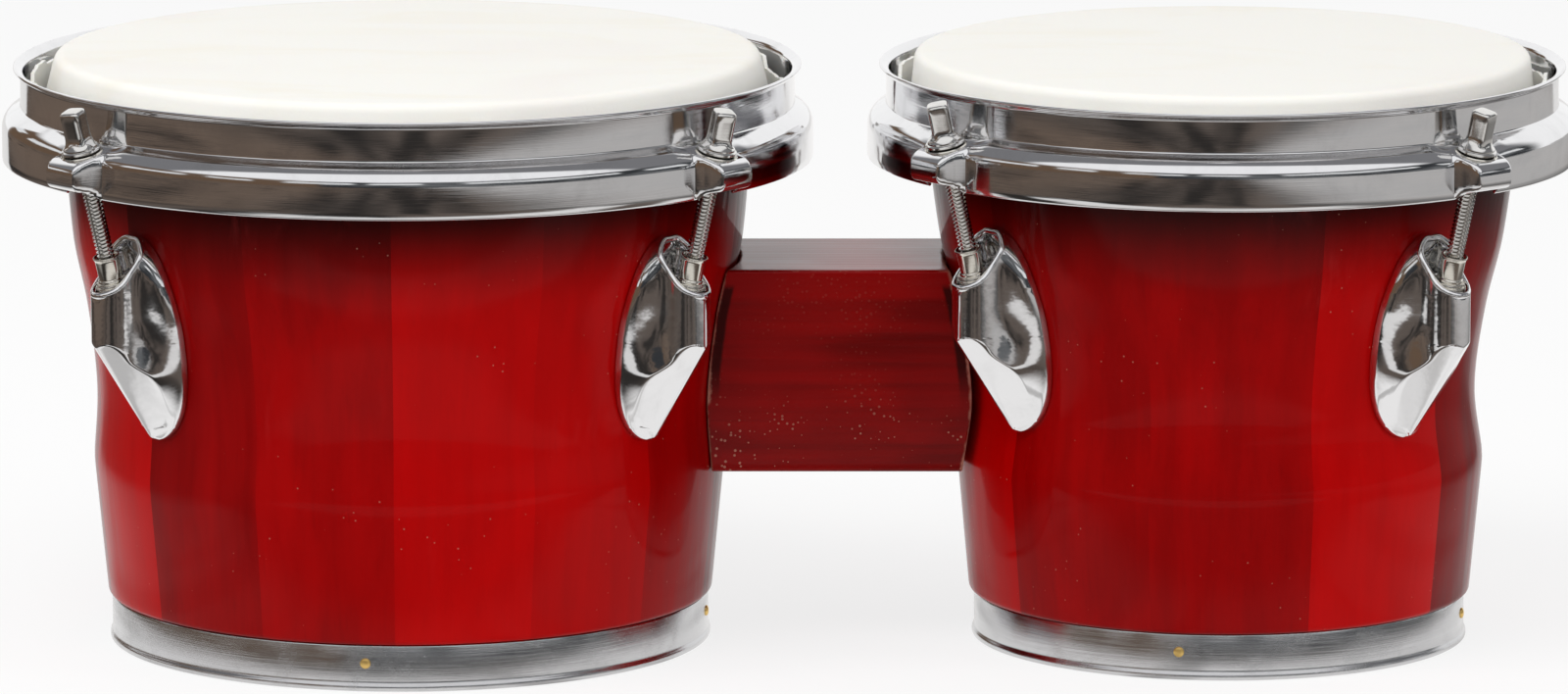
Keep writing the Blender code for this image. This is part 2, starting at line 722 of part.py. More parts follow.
def lug_mesh(drum):
    """Cast lug, with +X outward from the drum's axis: oval foot, boss, hood and slanted facet."""
    middle, half = (LUG_TOP + LUG_BOTTOM) / 2, (LUG_TOP - LUG_BOTTOM) / 2
    body = mesh_from_rings("lug", [lug_section(drum, middle + half * share) for share in LUG_LEVELS])
    centre = drum.boss_radius()
    hood = (shell_radius(drum, HOOD_HEIGHT) + HOOD_PROUD, HOOD_HEIGHT)
    rim = (centre + BOSS_RADIUS, BOSS_RIM_HEIGHT)
    tip = (shell_radius(drum, TIP_HEIGHT) + TIP_PROUD, TIP_HEIGHT)
    brow = (centre + BOSS_RADIUS, FACET_HEIGHT)
    axis = Matrix.Translation((centre, 0.0, SEAT_HEIGHT)) @ Matrix.Rotation(ROD_LEAN, 4, "Y")
    shank = NUT_SHANK_RADIUS + SCREW_GAP
    bore = ROD_RADIUS + SCREW_GAP * 2
    bore_end = -max(ROD_ENGAGEMENT, NUT_SHANK_LENGTH) - ROD_END_ROOM
    back = shell_radius(drum, LUG_SCREW_HEIGHT)
    screw = LUG_SCREW_RADIUS + SCREW_GAP
    screw_hole = turned_rod("screw_hole", [(screw, -SHELL_WALL), (screw, LUG_SCREW_HOLD + SCREW_GAP)],
                            SCREW_DIVISIONS)
    outward = Matrix.Translation((back, 0.0, LUG_SCREW_HEIGHT)) @ Matrix.Rotation(math.pi / 2, 4, "Y")
    pocket = [
        (bore, bore_end), (bore, -NUT_SHANK_LENGTH - GAP), (shank, -NUT_SHANK_LENGTH - GAP),
        (shank, 0.0), (POCKET_RADIUS, 0.0), (POCKET_RADIUS, LUG_TOP - SEAT_HEIGHT),
    ]
    slab = LUG_TOP
    tools = [
        half_space("top", hood, (rim[0] - hood[0], rim[1] - hood[1]), slab),
        half_space("facet", brow, (tip[0] - brow[0], tip[1] - brow[1]), slab),
        moved(turned_rod("pocket", pocket, SMALL_DIVISIONS), axis),
        moved(screw_hole, outward),
    ]
    return apply_cuts(body, tools)


def screw_mesh(name, radius, length, head_radius, head_height):
    """Round-headed screw: its head lies below zero and its stem runs up."""
    section = [
        (head_radius * SCREW_HEAD_TAPER, -head_height), (head_radius, 0.0), (radius, 0.0),
        (radius, length),
    ]
    return turned_rod(name, section, SCREW_DIVISIONS)


def make_lugs(drum, axis, finishes, shell):
    """Four lugs, each with its nut, its screw, and the rod and washer that stand over it."""
    lug = lug_mesh(drum)
    nut, rod, washer = lug_nut_mesh(), tension_rod_mesh(), washer_mesh()
    inside = seat_inside_shell(drum, LUG_SCREW_HEIGHT, LUG_SCREW_HEAD_RADIUS)
    end = shell_radius(drum, LUG_SCREW_HEIGHT) + LUG_SCREW_HOLD
    screw = screw_mesh("lug_screw", LUG_SCREW_RADIUS, end - inside,
                       LUG_SCREW_HEAD_RADIUS, LUG_SCREW_HEAD_HEIGHT)
    reach = LUG_SCREW_RADIUS + SCREW_GAP
    hole = turned_rod("shell_hole", [(reach, -SHELL_WALL), (reach, SHELL_WALL * 3)],
                      SCREW_DIVISIONS)
    for number, azimuth in enumerate(drum.lug_azimuths(), 1):
        tag = f"{drum.name}_{number}"
        place(f"lug_{tag}", lug, finishes["cast"], axis, at_azimuth(azimuth))
        seat = rod_matrix(azimuth, drum.boss_radius(), SEAT_HEIGHT)
        place(f"lug_nut_{tag}", nut, finishes["nickel"], axis, seat)
        screw_place = radial_matrix(azimuth, inside, LUG_SCREW_HEIGHT)
        place(f"lug_screw_{tag}", screw, finishes["zinc"], axis, screw_place)
        cut(shell, cutter(f"screw_hole_{tag}", hole, axis, screw_place))
        ear = rod_matrix(azimuth, drum.ear_radius(), EAR_FACE_HEIGHT)
        place(f"tension_rod_{tag}", rod, finishes["rod"], axis, ear)
        place(f"washer_{tag}", washer, finishes["nickel"], axis, ear)


def block_end_cutter(drum, hollow_radius):
    """Tool for a block's end: the shell's side, or a flatter hollow that touches its nose."""
    heights = outer_heights()
    radii = [shell_radius(drum, z) + GAP for z in heights]
    if hollow_radius is None:
        return turned_rod("cope", list(zip(radii, heights)), DIVISIONS)
    rings = []
    steps = range(-BLOCK_HOLLOW_STEPS, BLOCK_HOLLOW_STEPS + 1)
    half_depth = BLOCK_HALF_DEPTH + BLOCK_HOLLOW_EXCESS
    depths = [half_depth * k / BLOCK_HOLLOW_STEPS for k in steps]
    for radius, z in zip(radii, heights):
        nose = drum.block_side * radius
        curved = [nose + -drum.block_side * y * y / (2 * hollow_radius) for y in depths]
        ring = [(x, y, z) for x, y in zip(curved, depths)]
        ring += [(0.0, depths[-1], z), (0.0, depths[0], z)]
        rings.append(ring)
    return mesh_from_rings("hollow", rings)


def make_block(drums, axes, finishes, shells):
    """Wooden block with hollowed ends, and the bolts that draw both shells to it."""
    left, right = (drum.x for drum in drums)
    depth, height = BLOCK_HALF_DEPTH * 2, BLOCK_TOP - BLOCK_BOTTOM
    shape = bmesh.new()
    bmesh.ops.create_cube(shape, size=1.0)
    size = Matrix.Diagonal((right - left, depth, height, 1.0))
    middle = Matrix.Translation(((left + right) / 2, 0.0, BLOCK_BOTTOM + height / 2))
    bmesh.ops.transform(shape, matrix=middle @ size, verts=shape.verts)
    long_edges = [edge for edge in shape.edges
                  if abs(edge.verts[0].co.x - edge.verts[1].co.x) > height]
    bmesh.ops.bevel(shape, geom=long_edges, offset=BLOCK_ARRIS, segments=1, affect="EDGES")
    mesh = bpy.data.meshes.new("center_block")
    shape.to_mesh(mesh)
    shape.free()
    block = place("center_block", mesh, finishes["block"])
    hollows = (None, BLOCK_HOLLOW_RADIUS)
    for drum, axis, shell, hollow in zip(drums, axes, shells, hollows):
        cut(block, cutter(f"block_end_{drum.name}", block_end_cutter(drum, hollow), axis))
        azimuth = drum.block_side * math.pi / 2
        for number, z in enumerate(BLOCK_BOLT_HEIGHTS, 1):
            inside = seat_inside_shell(drum, z, BLOCK_BOLT_HEAD_RADIUS)
            length = shell_radius(drum, z) + BLOCK_BOLT_HOLD - inside
            bolt = screw_mesh(f"block_bolt_{drum.name}_{number}", BLOCK_BOLT_RADIUS, length,
                              BLOCK_BOLT_HEAD_RADIUS, BLOCK_BOLT_HEAD_HEIGHT)
            reach = BLOCK_BOLT_RADIUS + SCREW_GAP
            hole = turned_rod("bolt_hole", [(reach, -SHELL_WALL), (reach, length + GAP)],
                              SCREW_DIVISIONS)
            spot = radial_matrix(azimuth, inside, z)
            place(f"block_bolt_{drum.name}_{number}", bolt, finishes["zinc"], axis, spot)
            tool = cutter(f"bolt_hole_{drum.name}_{number}", hole, axis, spot)
            cut(block, tool)
            cut(shell, tool)


def drums_from_sizes():
    """The two drums, placed so that the rims' outer sides are centred on the origin."""
    large_skirt = LARGE_TOP_RADIUS + LARGE_RIM_REACH + SHOULDER_STEP
    small_skirt = SMALL_TOP_RADIUS + SMALL_RIM_REACH + SHOULDER_STEP
    half_length = large_skirt + BETWEEN_RIMS / 2 + small_skirt
    large_insets = (LARGE_SHOULDER_INSET, LARGE_FLARE_INSET, LARGE_WAIST_INSET, LARGE_HIP_INSET,
                    LARGE_FOOT_INSET, LARGE_RING_INSET, -LARGE_RIM_REACH)
    small_insets = (SMALL_SHOULDER_INSET, SMALL_FLARE_INSET, SMALL_WAIST_INSET, SMALL_HIP_INSET,
                    SMALL_FOOT_INSET, SMALL_RING_INSET, -SMALL_RIM_REACH)
    large = Drum(
        "large", large_skirt - half_length, 1, LARGE_TOP_RADIUS,
        *[LARGE_TOP_RADIUS - inset for inset in large_insets],
        LARGE_EAR_REACH, LARGE_LUG_SPREAD, LARGE_LUG_TURN,
    )
    small = Drum(
        "small", half_length - small_skirt, -1, SMALL_TOP_RADIUS,
        *[SMALL_TOP_RADIUS - inset for inset in small_insets],
        SMALL_EAR_REACH, SMALL_LUG_SPREAD, SMALL_LUG_TURN,
    )
    return large, small


def main():
    for thing in list(bpy.data.objects):
        bpy.data.objects.remove(thing)
    finishes = {
        "shell": material("red_stain", (0.36, 0.010, 0.012), 0.12),
        "block": material("maroon_stain", (0.17, 0.020, 0.020), 0.38),
        "skin": material("rawhide", (0.86, 0.80, 0.68), 0.55),
        "chrome": material("chrome", (0.80, 0.80, 0.80), 0.08, 1.0),
        "cast": material("cast_chrome", (0.74, 0.74, 0.74), 0.12, 1.0),
        "rod": material("chromed_rod", (0.72, 0.70, 0.67), 0.20, 1.0),
        "nickel": material("nickel", (0.68, 0.65, 0.58), 0.24, 1.0),
        "ring": material("satin_band", (0.62, 0.62, 0.62), 0.32, 1.0),
        "zinc": material("zinc_plate", (0.55, 0.55, 0.53), 0.35, 1.0),
        "wire": material("steel_wire", (0.45, 0.45, 0.45), 0.40, 1.0),
    }
    drums = drums_from_sizes()
    axes, shells = [], []
    for drum in drums:
        axis = bpy.data.objects.new(f"axis_{drum.name}", None)
        axis.location = (drum.x, 0.0, 0.0)
        bpy.context.collection.objects.link(axis)
        shell = make_shell(drum, axis, finishes["shell"])
        make_base_ring(drum, axis, finishes["ring"])
        make_flesh_hoop(drum, axis, finishes["wire"])
        make_head(drum, axis, finishes["skin"])
        make_rim(drum, axis, finishes["chrome"])
        make_lugs(drum, axis, finishes, shell)
        axes.append(axis)
        shells.append(shell)
    make_block(drums, axes, finishes, shells)


main()
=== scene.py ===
"""Bongos: fine surfaces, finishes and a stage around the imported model.

The file is laid out as an add-on and run as a script. Sizes are in metres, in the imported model's
frame: X runs from the large drum to the small one, -Y faces the viewer, Z points up. Each drum's
own angles are azimuths, measured from the viewer's side toward the small drum.
"""

import math
import random

import bmesh
import bpy
from bpy.props import FloatProperty, FloatVectorProperty, IntProperty, PointerProperty
from mathutils import Matrix, Vector, noise


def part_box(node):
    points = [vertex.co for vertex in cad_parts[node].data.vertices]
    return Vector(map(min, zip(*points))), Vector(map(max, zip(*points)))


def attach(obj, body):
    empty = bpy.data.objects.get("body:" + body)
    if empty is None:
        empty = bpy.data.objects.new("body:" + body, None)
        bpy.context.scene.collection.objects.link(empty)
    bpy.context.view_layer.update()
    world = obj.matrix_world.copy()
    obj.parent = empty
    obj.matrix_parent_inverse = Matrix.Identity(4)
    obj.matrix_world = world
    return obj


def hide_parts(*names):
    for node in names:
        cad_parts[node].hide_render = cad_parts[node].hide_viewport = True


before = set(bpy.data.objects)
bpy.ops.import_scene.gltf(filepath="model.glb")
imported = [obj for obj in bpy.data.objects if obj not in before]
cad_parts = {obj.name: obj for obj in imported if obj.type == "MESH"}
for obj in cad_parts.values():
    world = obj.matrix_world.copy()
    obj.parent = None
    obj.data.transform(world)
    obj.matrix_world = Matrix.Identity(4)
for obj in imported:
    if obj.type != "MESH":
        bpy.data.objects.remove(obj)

bl_info = {
    "name": "Bongos",
    "version": (1, 0, 0),
    "blender": (4, 5, 0),
    "location": "View3D > Sidebar > Bongos",
    "description": "Fine surfaces, finishes and a stage for a pair of bongos",
    "category": "Object",
}

MM = 0.001
INCH = 0.0254
DRUMS = ("large", "small")
CORNERS = (1, 2, 3, 4)
FINISH_NAME = "fine_{}"


# Properties: the sizes and colours that a user would change

def length(name, description, default):
    """A size in metres."""
    return FloatProperty(name=name, description=description, default=default, min=0.0,
                         precision=4, unit="LENGTH")


def angle(name, description, degrees):
    """An angle, given in degrees."""
    return FloatProperty(name=name, description=description, default=math.radians(degrees),
                         precision=2, unit="ROTATION")


def count(name, description, default, least):
    """A whole number of copies."""
    return IntProperty(name=name, description=description, default=default, min=least)


def colour(name, description, default):
    """A linear colour."""
    return FloatVectorProperty(name=name, description=description, default=default, size=3,
                               min=0.0, max=1.0, subtype="COLOR")


def share(name, description, default):
    """A number from 0 to 1."""
    return FloatProperty(name=name, description=description, default=default, min=0.0, max=1.0,
                         subtype="FACTOR")


def middle_x(node):
    """Where a node's middle lies along X."""
    low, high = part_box(node)
    return (low.x + high.x) / 2


def radius_x(node):
    """Half of a round node's width along X."""
    low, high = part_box(node)
    return (high.x - low.x) / 2


class BongoLargeDrum(bpy.types.PropertyGroup):
    """Sizes that are the large drum's own"""
    top: length("Top radius", "Outer radius of the shell at its bearing edge", 0.09525)
    shoulder: length("Shoulder radius", "Outer radius of the shell at its shoulder", 0.0919)
    flare: length("Flare radius", "Outer radius of the shell where its flare starts", 0.0881)
    waist: length("Waist radius", "Outer radius of the shell at its waist", 0.0857)
    hip: length("Hip radius", "Outer radius of the shell at its hip", 0.0867)
    foot: length("Foot radius", "Outer radius of the shell above its ring", 0.0832)
    ring: length("Ring radius", "Outer radius of the base ring", radius_x("base_ring_large") - 0.6 * MM)
    band: length("Rim radius", "Outer radius of the rim's upright band", 0.1048)
    spread: angle("Lug spread", "Azimuth of a lug either side of the drum's own front", 49.7)
    turn: angle("Lug turn", "Turn of all four lugs about the drum's axis", 0.0)
    reach: length("Ear reach", "From the rim's band to the rod in an ear", 0.0062)
    staves: count("Staves", "Number of staves in the shell", 14, 6)
    first_joint: angle("First joint", "Azimuth of the first joint between staves", -1.0)
    first_nail: angle("First nail", "Azimuth of the front nail in the base ring", -6.7)


class BongoSmallDrum(bpy.types.PropertyGroup):
    """Sizes that are the small drum's own"""
    top: length("Top radius", "Outer radius of the shell at its bearing edge", 0.0831)
    shoulder: length("Shoulder radius", "Outer radius of the shell at its shoulder", 0.0774)
    flare: length("Flare radius", "Outer radius of the shell where its flare starts", 0.0728)
    waist: length("Waist radius", "Outer radius of the shell at its waist", 0.0699)
    hip: length("Hip radius", "Outer radius of the shell at its hip", 0.0723)
    foot: length("Foot radius", "Outer radius of the shell above its ring", 0.0690)
    ring: length("Ring radius", "Outer radius of the base ring", radius_x("base_ring_small") - 0.6 * MM)
    band: length("Rim radius", "Outer radius of the rim's upright band", 0.0909)
    spread: angle("Lug spread", "Azimuth of a lug either side of the drum's own front", 47.1)
    turn: angle("Lug turn", "Turn of all four lugs about the drum's axis", -4.8)
    reach: length("Ear reach", "From the rim's band to the rod in an ear", 0.0059)
    staves: count("Staves", "Number of staves in the shell", 10, 6)
    first_joint: angle("First joint", "Azimuth of the first joint between staves", -17.6)
    first_nail: angle("First nail", "Azimuth of the front nail in the base ring", -11.3)


class BongoShell(bpy.types.PropertyGroup):
    """Heights and walls that both shells share"""
    wall: length("Wall", "Thickness of the staves", 0.0075)
    hip: length("Hip height", "Height of the soft arris above the foot's taper", 0.0506)
    waist: length("Waist height", "Height of the narrowest place above the hip", 0.0698)
    flare: length("Flare height", "Height where the flare starts", 0.0928)
    shoulder: length("Shoulder height", "Height where the flare slows", 0.1125)
    edge: length("Edge width", "Width of the round on the bearing edge", 0.0033)
    bevel: length("Bevel", "Depth of the bevel inside the bearing edge", 0.0052)
    foot_round: length("Foot round", "Round on the shell's lower corner above the ring", 0.0015)
    gap: length("Gap", "Clearance between pieces that touch", 0.0003)
    head_top: length("Head height", "Height of the playing surface", 0.1622)
    skin: length("Skin", "Thickness of the rawhide", 0.0010)
    skin_round: length("Skin round", "Round of the skin over the bearing edge", 0.0024)
    tail: length("Tail height", "Mean height of the skin's trimmed edge", 0.1546)
    hoop: length("Hoop height", "Height of the flesh hoop inside the rim", 0.1406)
    hoop_wire: length("Hoop wire", "Radius of the flesh hoop's wire", 0.0018)
    ring_height: length("Ring height", "Height of the base ring", 0.0125)
    ring_sheet: length("Ring sheet", "Thickness of the base ring", 0.0010)
    ring_bead: length("Ring bead", "How far the base ring's lower bead stands out", 0.0006)
    nails: count("Nails", "Nails round each base ring", 4, 1)


class BongoRim(bpy.types.PropertyGroup):
    """Sizes of the pressed rims"""
    sheet: length("Sheet", "Thickness of the pressed sheet", 0.0011)
    top: length("Top", "Height of the rim's lip", 0.1595)
    bottom: length("Bottom", "Height of the skirt's lower edge", 0.1332)
    lip: length("Lip", "How far the lip flares out", 0.0021)
    step: length("Step", "How far the skirt stands outside the band", 0.0051)
    shoulder: length("Shoulder", "Height where the band turns out to the skirt", 0.1474)
    ear_face: length("Ear height", "Height where a rod crosses its ear", 0.1440)
    ear_flat: length("Ear width", "Width of an ear's flat", 0.0108)
    ear_foot: length("Ear foot", "Width of an ear where it leaves the skirt", 0.0160)
    ear_fillet: length("Ear fillet", "Width of the pressed fillets beside an ear", 0.0280)
    ear_reach: length("Ear reach", "From the rod out to the ear's edge", 0.0070)
    ear_bottom: length("Ear bottom", "Height of the curl under an ear's edge", 0.1368)
    lean: angle("Lean", "Outward lean of the rods", 15.0)


class BongoRod(bpy.types.PropertyGroup):
    """Sizes of the tension rods, their washers and nuts"""
    radius: length("Thread radius", "Outer radius of the thread", 0.00238)
    pitch: length("Pitch", "Rise of the thread in one turn, 24 to the inch", INCH / 24)
    depth: length("Thread depth", "Depth of the thread", 0.00062)
    shank: length("Shank", "Length of the stem below the ear", 0.0520)
    flange: length("Flange", "Radius of the flange under the head", 0.0053)
    washer: length("Washer", "Radius of the washer", 0.0058)
    plate: length("Plate", "Thickness of the washer and of the flange", 0.0011)
    bell: length("Bell", "Height of the bell above the flange", 0.0024)
    head: length("Head", "Width of the square head across its flats", 0.0058)
    head_height: length("Head height", "Height of the square head", 0.0082)
    seat: length("Seat", "Height of the nut's seat at the rod's axis", 0.1071)
    nut_sleeve: length("Nut sleeve", "Outer radius of the nut's sleeve", 0.0033)
    nut_flange: length("Nut flange", "Outer radius of the nut's flange", 0.0045)
    nut_height: length("Nut height", "Height of the nut above its seat", 0.0098)


class BongoLug(bpy.types.PropertyGroup):
    """Sizes of the cast lugs"""
    top: length("Top", "Height of the oval foot's upper end", 0.1209)
    bottom: length("Bottom", "Height of the oval foot's lower end", 0.0642)
    half_width: length("Half width", "Half of the oval foot's width", 0.0130)
    edge: length("Edge", "Thickness of the foot at its edge", 0.0015)
    boss: length("Boss radius", "Radius of the boss that takes the nut", 0.0062)
    hood: length("Hood height", "Height where the slanted opening meets the hood", 0.1205)
    hood_proud: length("Hood proud", "How far the hood stands off the shell there", 0.0019)
    rim: length("Opening height", "Height where the slanted opening meets the boss", 0.1057)
    brow: length("Opening bend", "Height where the opening turns up toward the hood", 0.1078)
    facet: length("Facet top", "Height of the facet's upper end on the boss", 0.0916)
    pinch: length("Pinch height", "Height below which the prow narrows to its tip", 0.0840)
    tip: length("Tip height", "Height of the facet's tip", 0.0652)
    tip_proud: length("Tip proud", "How far the tip stands off the shell", 0.0034)
    keel: angle("Keel", "How far each side of the prow falls away from its keel", 34.0)
    keel_round: length("Keel round", "Softness of the keel", 0.0010)
    wall: length("Wall", "Width of the lip round the opening", 0.0017)
    back: length("Back", "Thickness of the wall behind the nut", 0.0014)
    bead: length("Bead", "Radius of the bead round the opening", 0.0010)
    arris: length("Arris", "Round of the facet's edge", 0.0009)
    screw: length("Screw height", "Height of the screw that holds the lug", 0.0788)


class BongoBlock(bpy.types.PropertyGroup):
    """Sizes of the block between the drums"""
    top: length("Top", "Height of the block's top face", 0.1055)
    bottom: length("Bottom", "Height of the block's lower face", 0.0497)
    half_depth: length("Half depth", "Half of the block's depth", 0.0267)
    arris: length("Arris", "Round of the block's long edges", 0.0009)
    hollow: length("Hollow", "Radius of the hollow in the small drum's end", 0.2150)
    bolt_low: length("Lower bolt", "Height of the lower bolt", 0.0635)
    bolt_high: length("Upper bolt", "Height of the upper bolt", 0.0917)


class BongoColours(bpy.types.PropertyGroup):
    """Colours of the finishes"""
    stain_bright: colour("Bright stain", "Red stain where the stave takes it up least", (0.44, 0.0, 0.0002))
    stain_deep: colour("Deep stain", "Red stain where the stave takes it up most", (0.112, 0.0, 0.0003))
    # Painted shade: near-black red that stands in for the shade close under the rims. The block's end bands
    # take the same colour.
    stain_dark: colour("Dark stain", "Stain close under the rims", (0.014, 0.0005, 0.0002))
    block_front: colour("Block stain", "Stain on the block's glossy faces", (0.26, 0.0, 0.0))
    block_deep: colour("Deep block stain", "Darkest stain on the block", (0.095, 0.0, 0.0))
    block_top: colour("Block top", "Rubbed top face of the block", (0.100, 0.038, 0.033))
    raw_wood: colour("Raw wood", "Wood inside the shells", (0.42, 0.24, 0.13))
    worn_wood: colour("Worn wood", "Wood that shows where an arris is rubbed", (0.46, 0.22, 0.16))
    hide: colour("Hide", "Rawhide", (0.870, 0.855, 0.810))
    hide_warm: colour("Warm hide", "Thicker and older parts of the hide", (0.90, 0.90, 0.87))
    chrome: colour("Chrome", "Plated rim and lugs", (0.82, 0.82, 0.83))
    rod: colour("Rod", "Plated rods", (0.76, 0.75, 0.73))
    nickel: colour("Nickel", "Nuts and washers", (0.76, 0.73, 0.66))
    band: colour("Satin band", "Base rings", (0.60, 0.60, 0.61))
    brass: colour("Brass", "Nails in the base rings", (0.78, 0.53, 0.18))
    zinc: colour("Zinc", "Screws and bolts", (0.56, 0.57, 0.58))
    floor: colour("Floor", "Floor of the stage", (0.92, 0.92, 0.92))


class BongoStage(bpy.types.PropertyGroup):
    """Camera and light"""
    focal: FloatProperty(name="Focal length", description="Lens, in millimetres", default=260.7, min=1.0)
    distance: length("Distance", "From the camera to the drums' plane", 3.0722)
    height: length("Height", "Height of the camera", 0.6291)
    pitch: angle("Pitch", "How far the camera looks down", 10.141)
    key: FloatProperty(name="Key", description="Power of the key light, in watts", default=22.0, min=0.0)
    fill: FloatProperty(name="Fill", description="Power of each side light, in watts", default=9.0, min=0.0)
    room: share("Room light", "Strength of the even light from all round", 0.62)


class BongoSettings(bpy.types.PropertyGroup):
    """All settings of the bongos"""
    large: PointerProperty(type=BongoLargeDrum)
    small: PointerProperty(type=BongoSmallDrum)
    shell: PointerProperty(type=BongoShell)
    rim: PointerProperty(type=BongoRim)
    rod: PointerProperty(type=BongoRod)
    lug: PointerProperty(type=BongoLug)
    block: PointerProperty(type=BongoBlock)
    colours: PointerProperty(type=BongoColours)
    stage: PointerProperty(type=BongoStage)


# Forms: curves, sections and meshes

def ease(value):
    """Ease from 0 to 1, level at both ends."""
    value = clamp(value)
    return value * value * (3.0 - 2.0 * value)


def blend(a, b, t):
    """A value or vector part of the way from one to another."""
    return a + (b - a) * t


def spread(low, high, steps):
    """Even values from low to high, both included."""
    return [low + (high - low) * i / steps for i in range(steps + 1)]


def clamp(value, low=0.0, high=1.0):
    """A value kept between two limits."""
    return min(max(value, low), high)


def around(steps):
    """Even angles once round a circle."""
    return spread(0.0, 2 * math.pi, steps)[:-1]


def curve(start, bend, end, t):
    """Point on the curve that leaves start for a bend and comes from it to end."""
    return start * (1 - t) ** 2 + bend * 2 * t * (1 - t) + end * t * t


def at_azimuth(azimuth, radius, height):
    """Point at an azimuth, a distance from the drum's axis and a height."""
    return Vector((radius * math.sin(azimuth), -radius * math.cos(azimuth), height))


def ellipse(middle, height, reach, rise, low, high, steps):
    """Points (radius, height) on part of an ellipse, from one angle to another."""
    return [(middle + reach * math.cos(t), height + rise * math.sin(t)) for t in spread(low, high, steps)]


def finished(name, shape):
    """The mesh of a shape that is done."""
    mesh = bpy.data.meshes.new(name)
    shape.to_mesh(mesh)
    shape.free()
    return mesh


def placed(name, data):
    """A new object in the scene."""
    thing = bpy.data.objects.new(name, data)
    bpy.context.scene.collection.objects.link(thing)
    return thing


def soft_path(corners, steps=5):
    """Points along a path of (radius, height, reach) corners, each eased over its reach."""
    path = []
    last = len(corners) - 1
    for i, (r, z, reach) in enumerate(corners):
        here = Vector((r, z))
        if i in (0, last) or reach <= 0.0:
            path.append(here)
            continue
        before = Vector(corners[i - 1][:2]) - here
        after = Vector(corners[i + 1][:2]) - here
        start = here + before.normalized() * min(reach, before.length * 0.49)
        end = here + after.normalized() * min(reach, after.length * 0.49)
        path += [curve(start, here, end, t) for t in spread(0.0, 1.0, steps)]
    return path


def beside(path, distance):
    """The same path moved sideways, to the left of its way."""
    moved = []
    for i, point in enumerate(path):
        ways = []
        if i:
            ways.append((point - path[i - 1]).normalized())
        if i < len(path) - 1:
            ways.append((path[i + 1] - point).normalized())
        middle = sum(ways, Vector((0.0, 0.0))).normalized()
        side = Vector((-middle.y, middle.x))
        moved.append(point + side * distance / max(middle.dot(ways[0]), 0.6))
    return moved


def sheet_loop(path, thickness, steps=4):
    """Closed section of a sheet whose outer face follows a path, with both edges rounded."""
    inner = beside(path, thickness)
    loop = list(path)
    for start, end, way in ((path[-1], inner[-1], path[-1] - path[-2]),
                            (inner[0], path[0], path[0] - path[1])):
        if start == inner[0]:
            loop += inner[::-1]
        middle, half = (start + end) / 2, (start - end) / 2
        bulge = way.normalized() * half.length
        for t in spread(0.0, math.pi, steps)[1:-1]:
            loop.append(middle + half * math.cos(t) + bulge * math.sin(t))
    return loop


def skin_rows(name, rows, closed=False, caps=False, zone=None):
    """Skin rings of equal length. closed joins the last ring to the first, caps fills both."""
    shape = bmesh.new()
    made = [[shape.verts.new(point) for point in row] for row in rows]
    size = len(made[0])
    after = made[1:] + made[:1] if closed else made[1:]
    for k, (low, high) in enumerate(zip(made, after)):
        for i in range(size):
            j = (i + 1) % size
            face = shape.faces.new((low[i], low[j], high[j], high[i]))
            if zone:
                face.material_index = zone(k)
    if caps:
        for row in (made[0], made[-1]):
            hub = shape.verts.new(sum((vertex.co for vertex in row), Vector()) / size)
            for i in range(size):
                shape.faces.new((row[i], row[(i + 1) % size], hub))
    bmesh.ops.remove_doubles(shape, verts=shape.verts, dist=1e-6)
    bmesh.ops.recalc_face_normals(shape, faces=shape.faces)
    return finished(name, shape)


def turned(name, section, sides, closed=True, caps=False):
    """Turn a section of (radius, height) points about Z."""
    rows = [[(r * math.cos(a), r * math.sin(a), z) for a in around(sides)] for r, z in section]
    return skin_rows(name, rows, closed, caps)


def joined(name, meshes):
    """One mesh that holds several, each as its own closed body."""
    shape = bmesh.new()
    for mesh in meshes:
        shape.from_mesh(mesh)
    return finished(name, shape)


def tube(name, path, radius, sides=10):
    """Round bar along a closed path."""
    rows = []
    size = len(path)
    for i, point in enumerate(path):
        way = (path[(i + 1) % size] - path[i - 1]).normalized()
        across = way.cross(Vector((1.0, 0.0, 0.0)))
        if across.length < 0.1:
            across = way.cross(Vector((0.0, 0.0, 1.0)))
        across.normalize()
        other = way.cross(across)
        rows.append([point + (across * math.cos(a) + other * math.sin(a)) * radius
                     for a in around(sides)])
    return skin_rows(name, rows, closed=True)


def put(name, mesh, finishes, body, replaced=(), matrix=None, sharp=42):
    """Place a finished mesh in the scene, on its body, in place of the nodes it stands for."""
    if not mesh.polygons:
        raise RuntimeError(f"{name} came out without faces")
    piece = placed(name, mesh)
    if matrix is not None:
        piece.data = mesh.copy()
        piece.data.transform(matrix)
    piece.data.materials.clear()
    for finish in finishes:
        piece.data.materials.append(bpy.data.materials[FINISH_NAME.format(finish)])
    piece.data.shade_smooth()
    piece.data.set_sharp_from_angle(angle=math.radians(sharp))
    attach(piece, body)
    if replaced:
        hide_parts(*replaced)
    return piece


# The drum: outlines and places that several pieces share

HOOP_INSIDE_BAND = 1.5 * MM


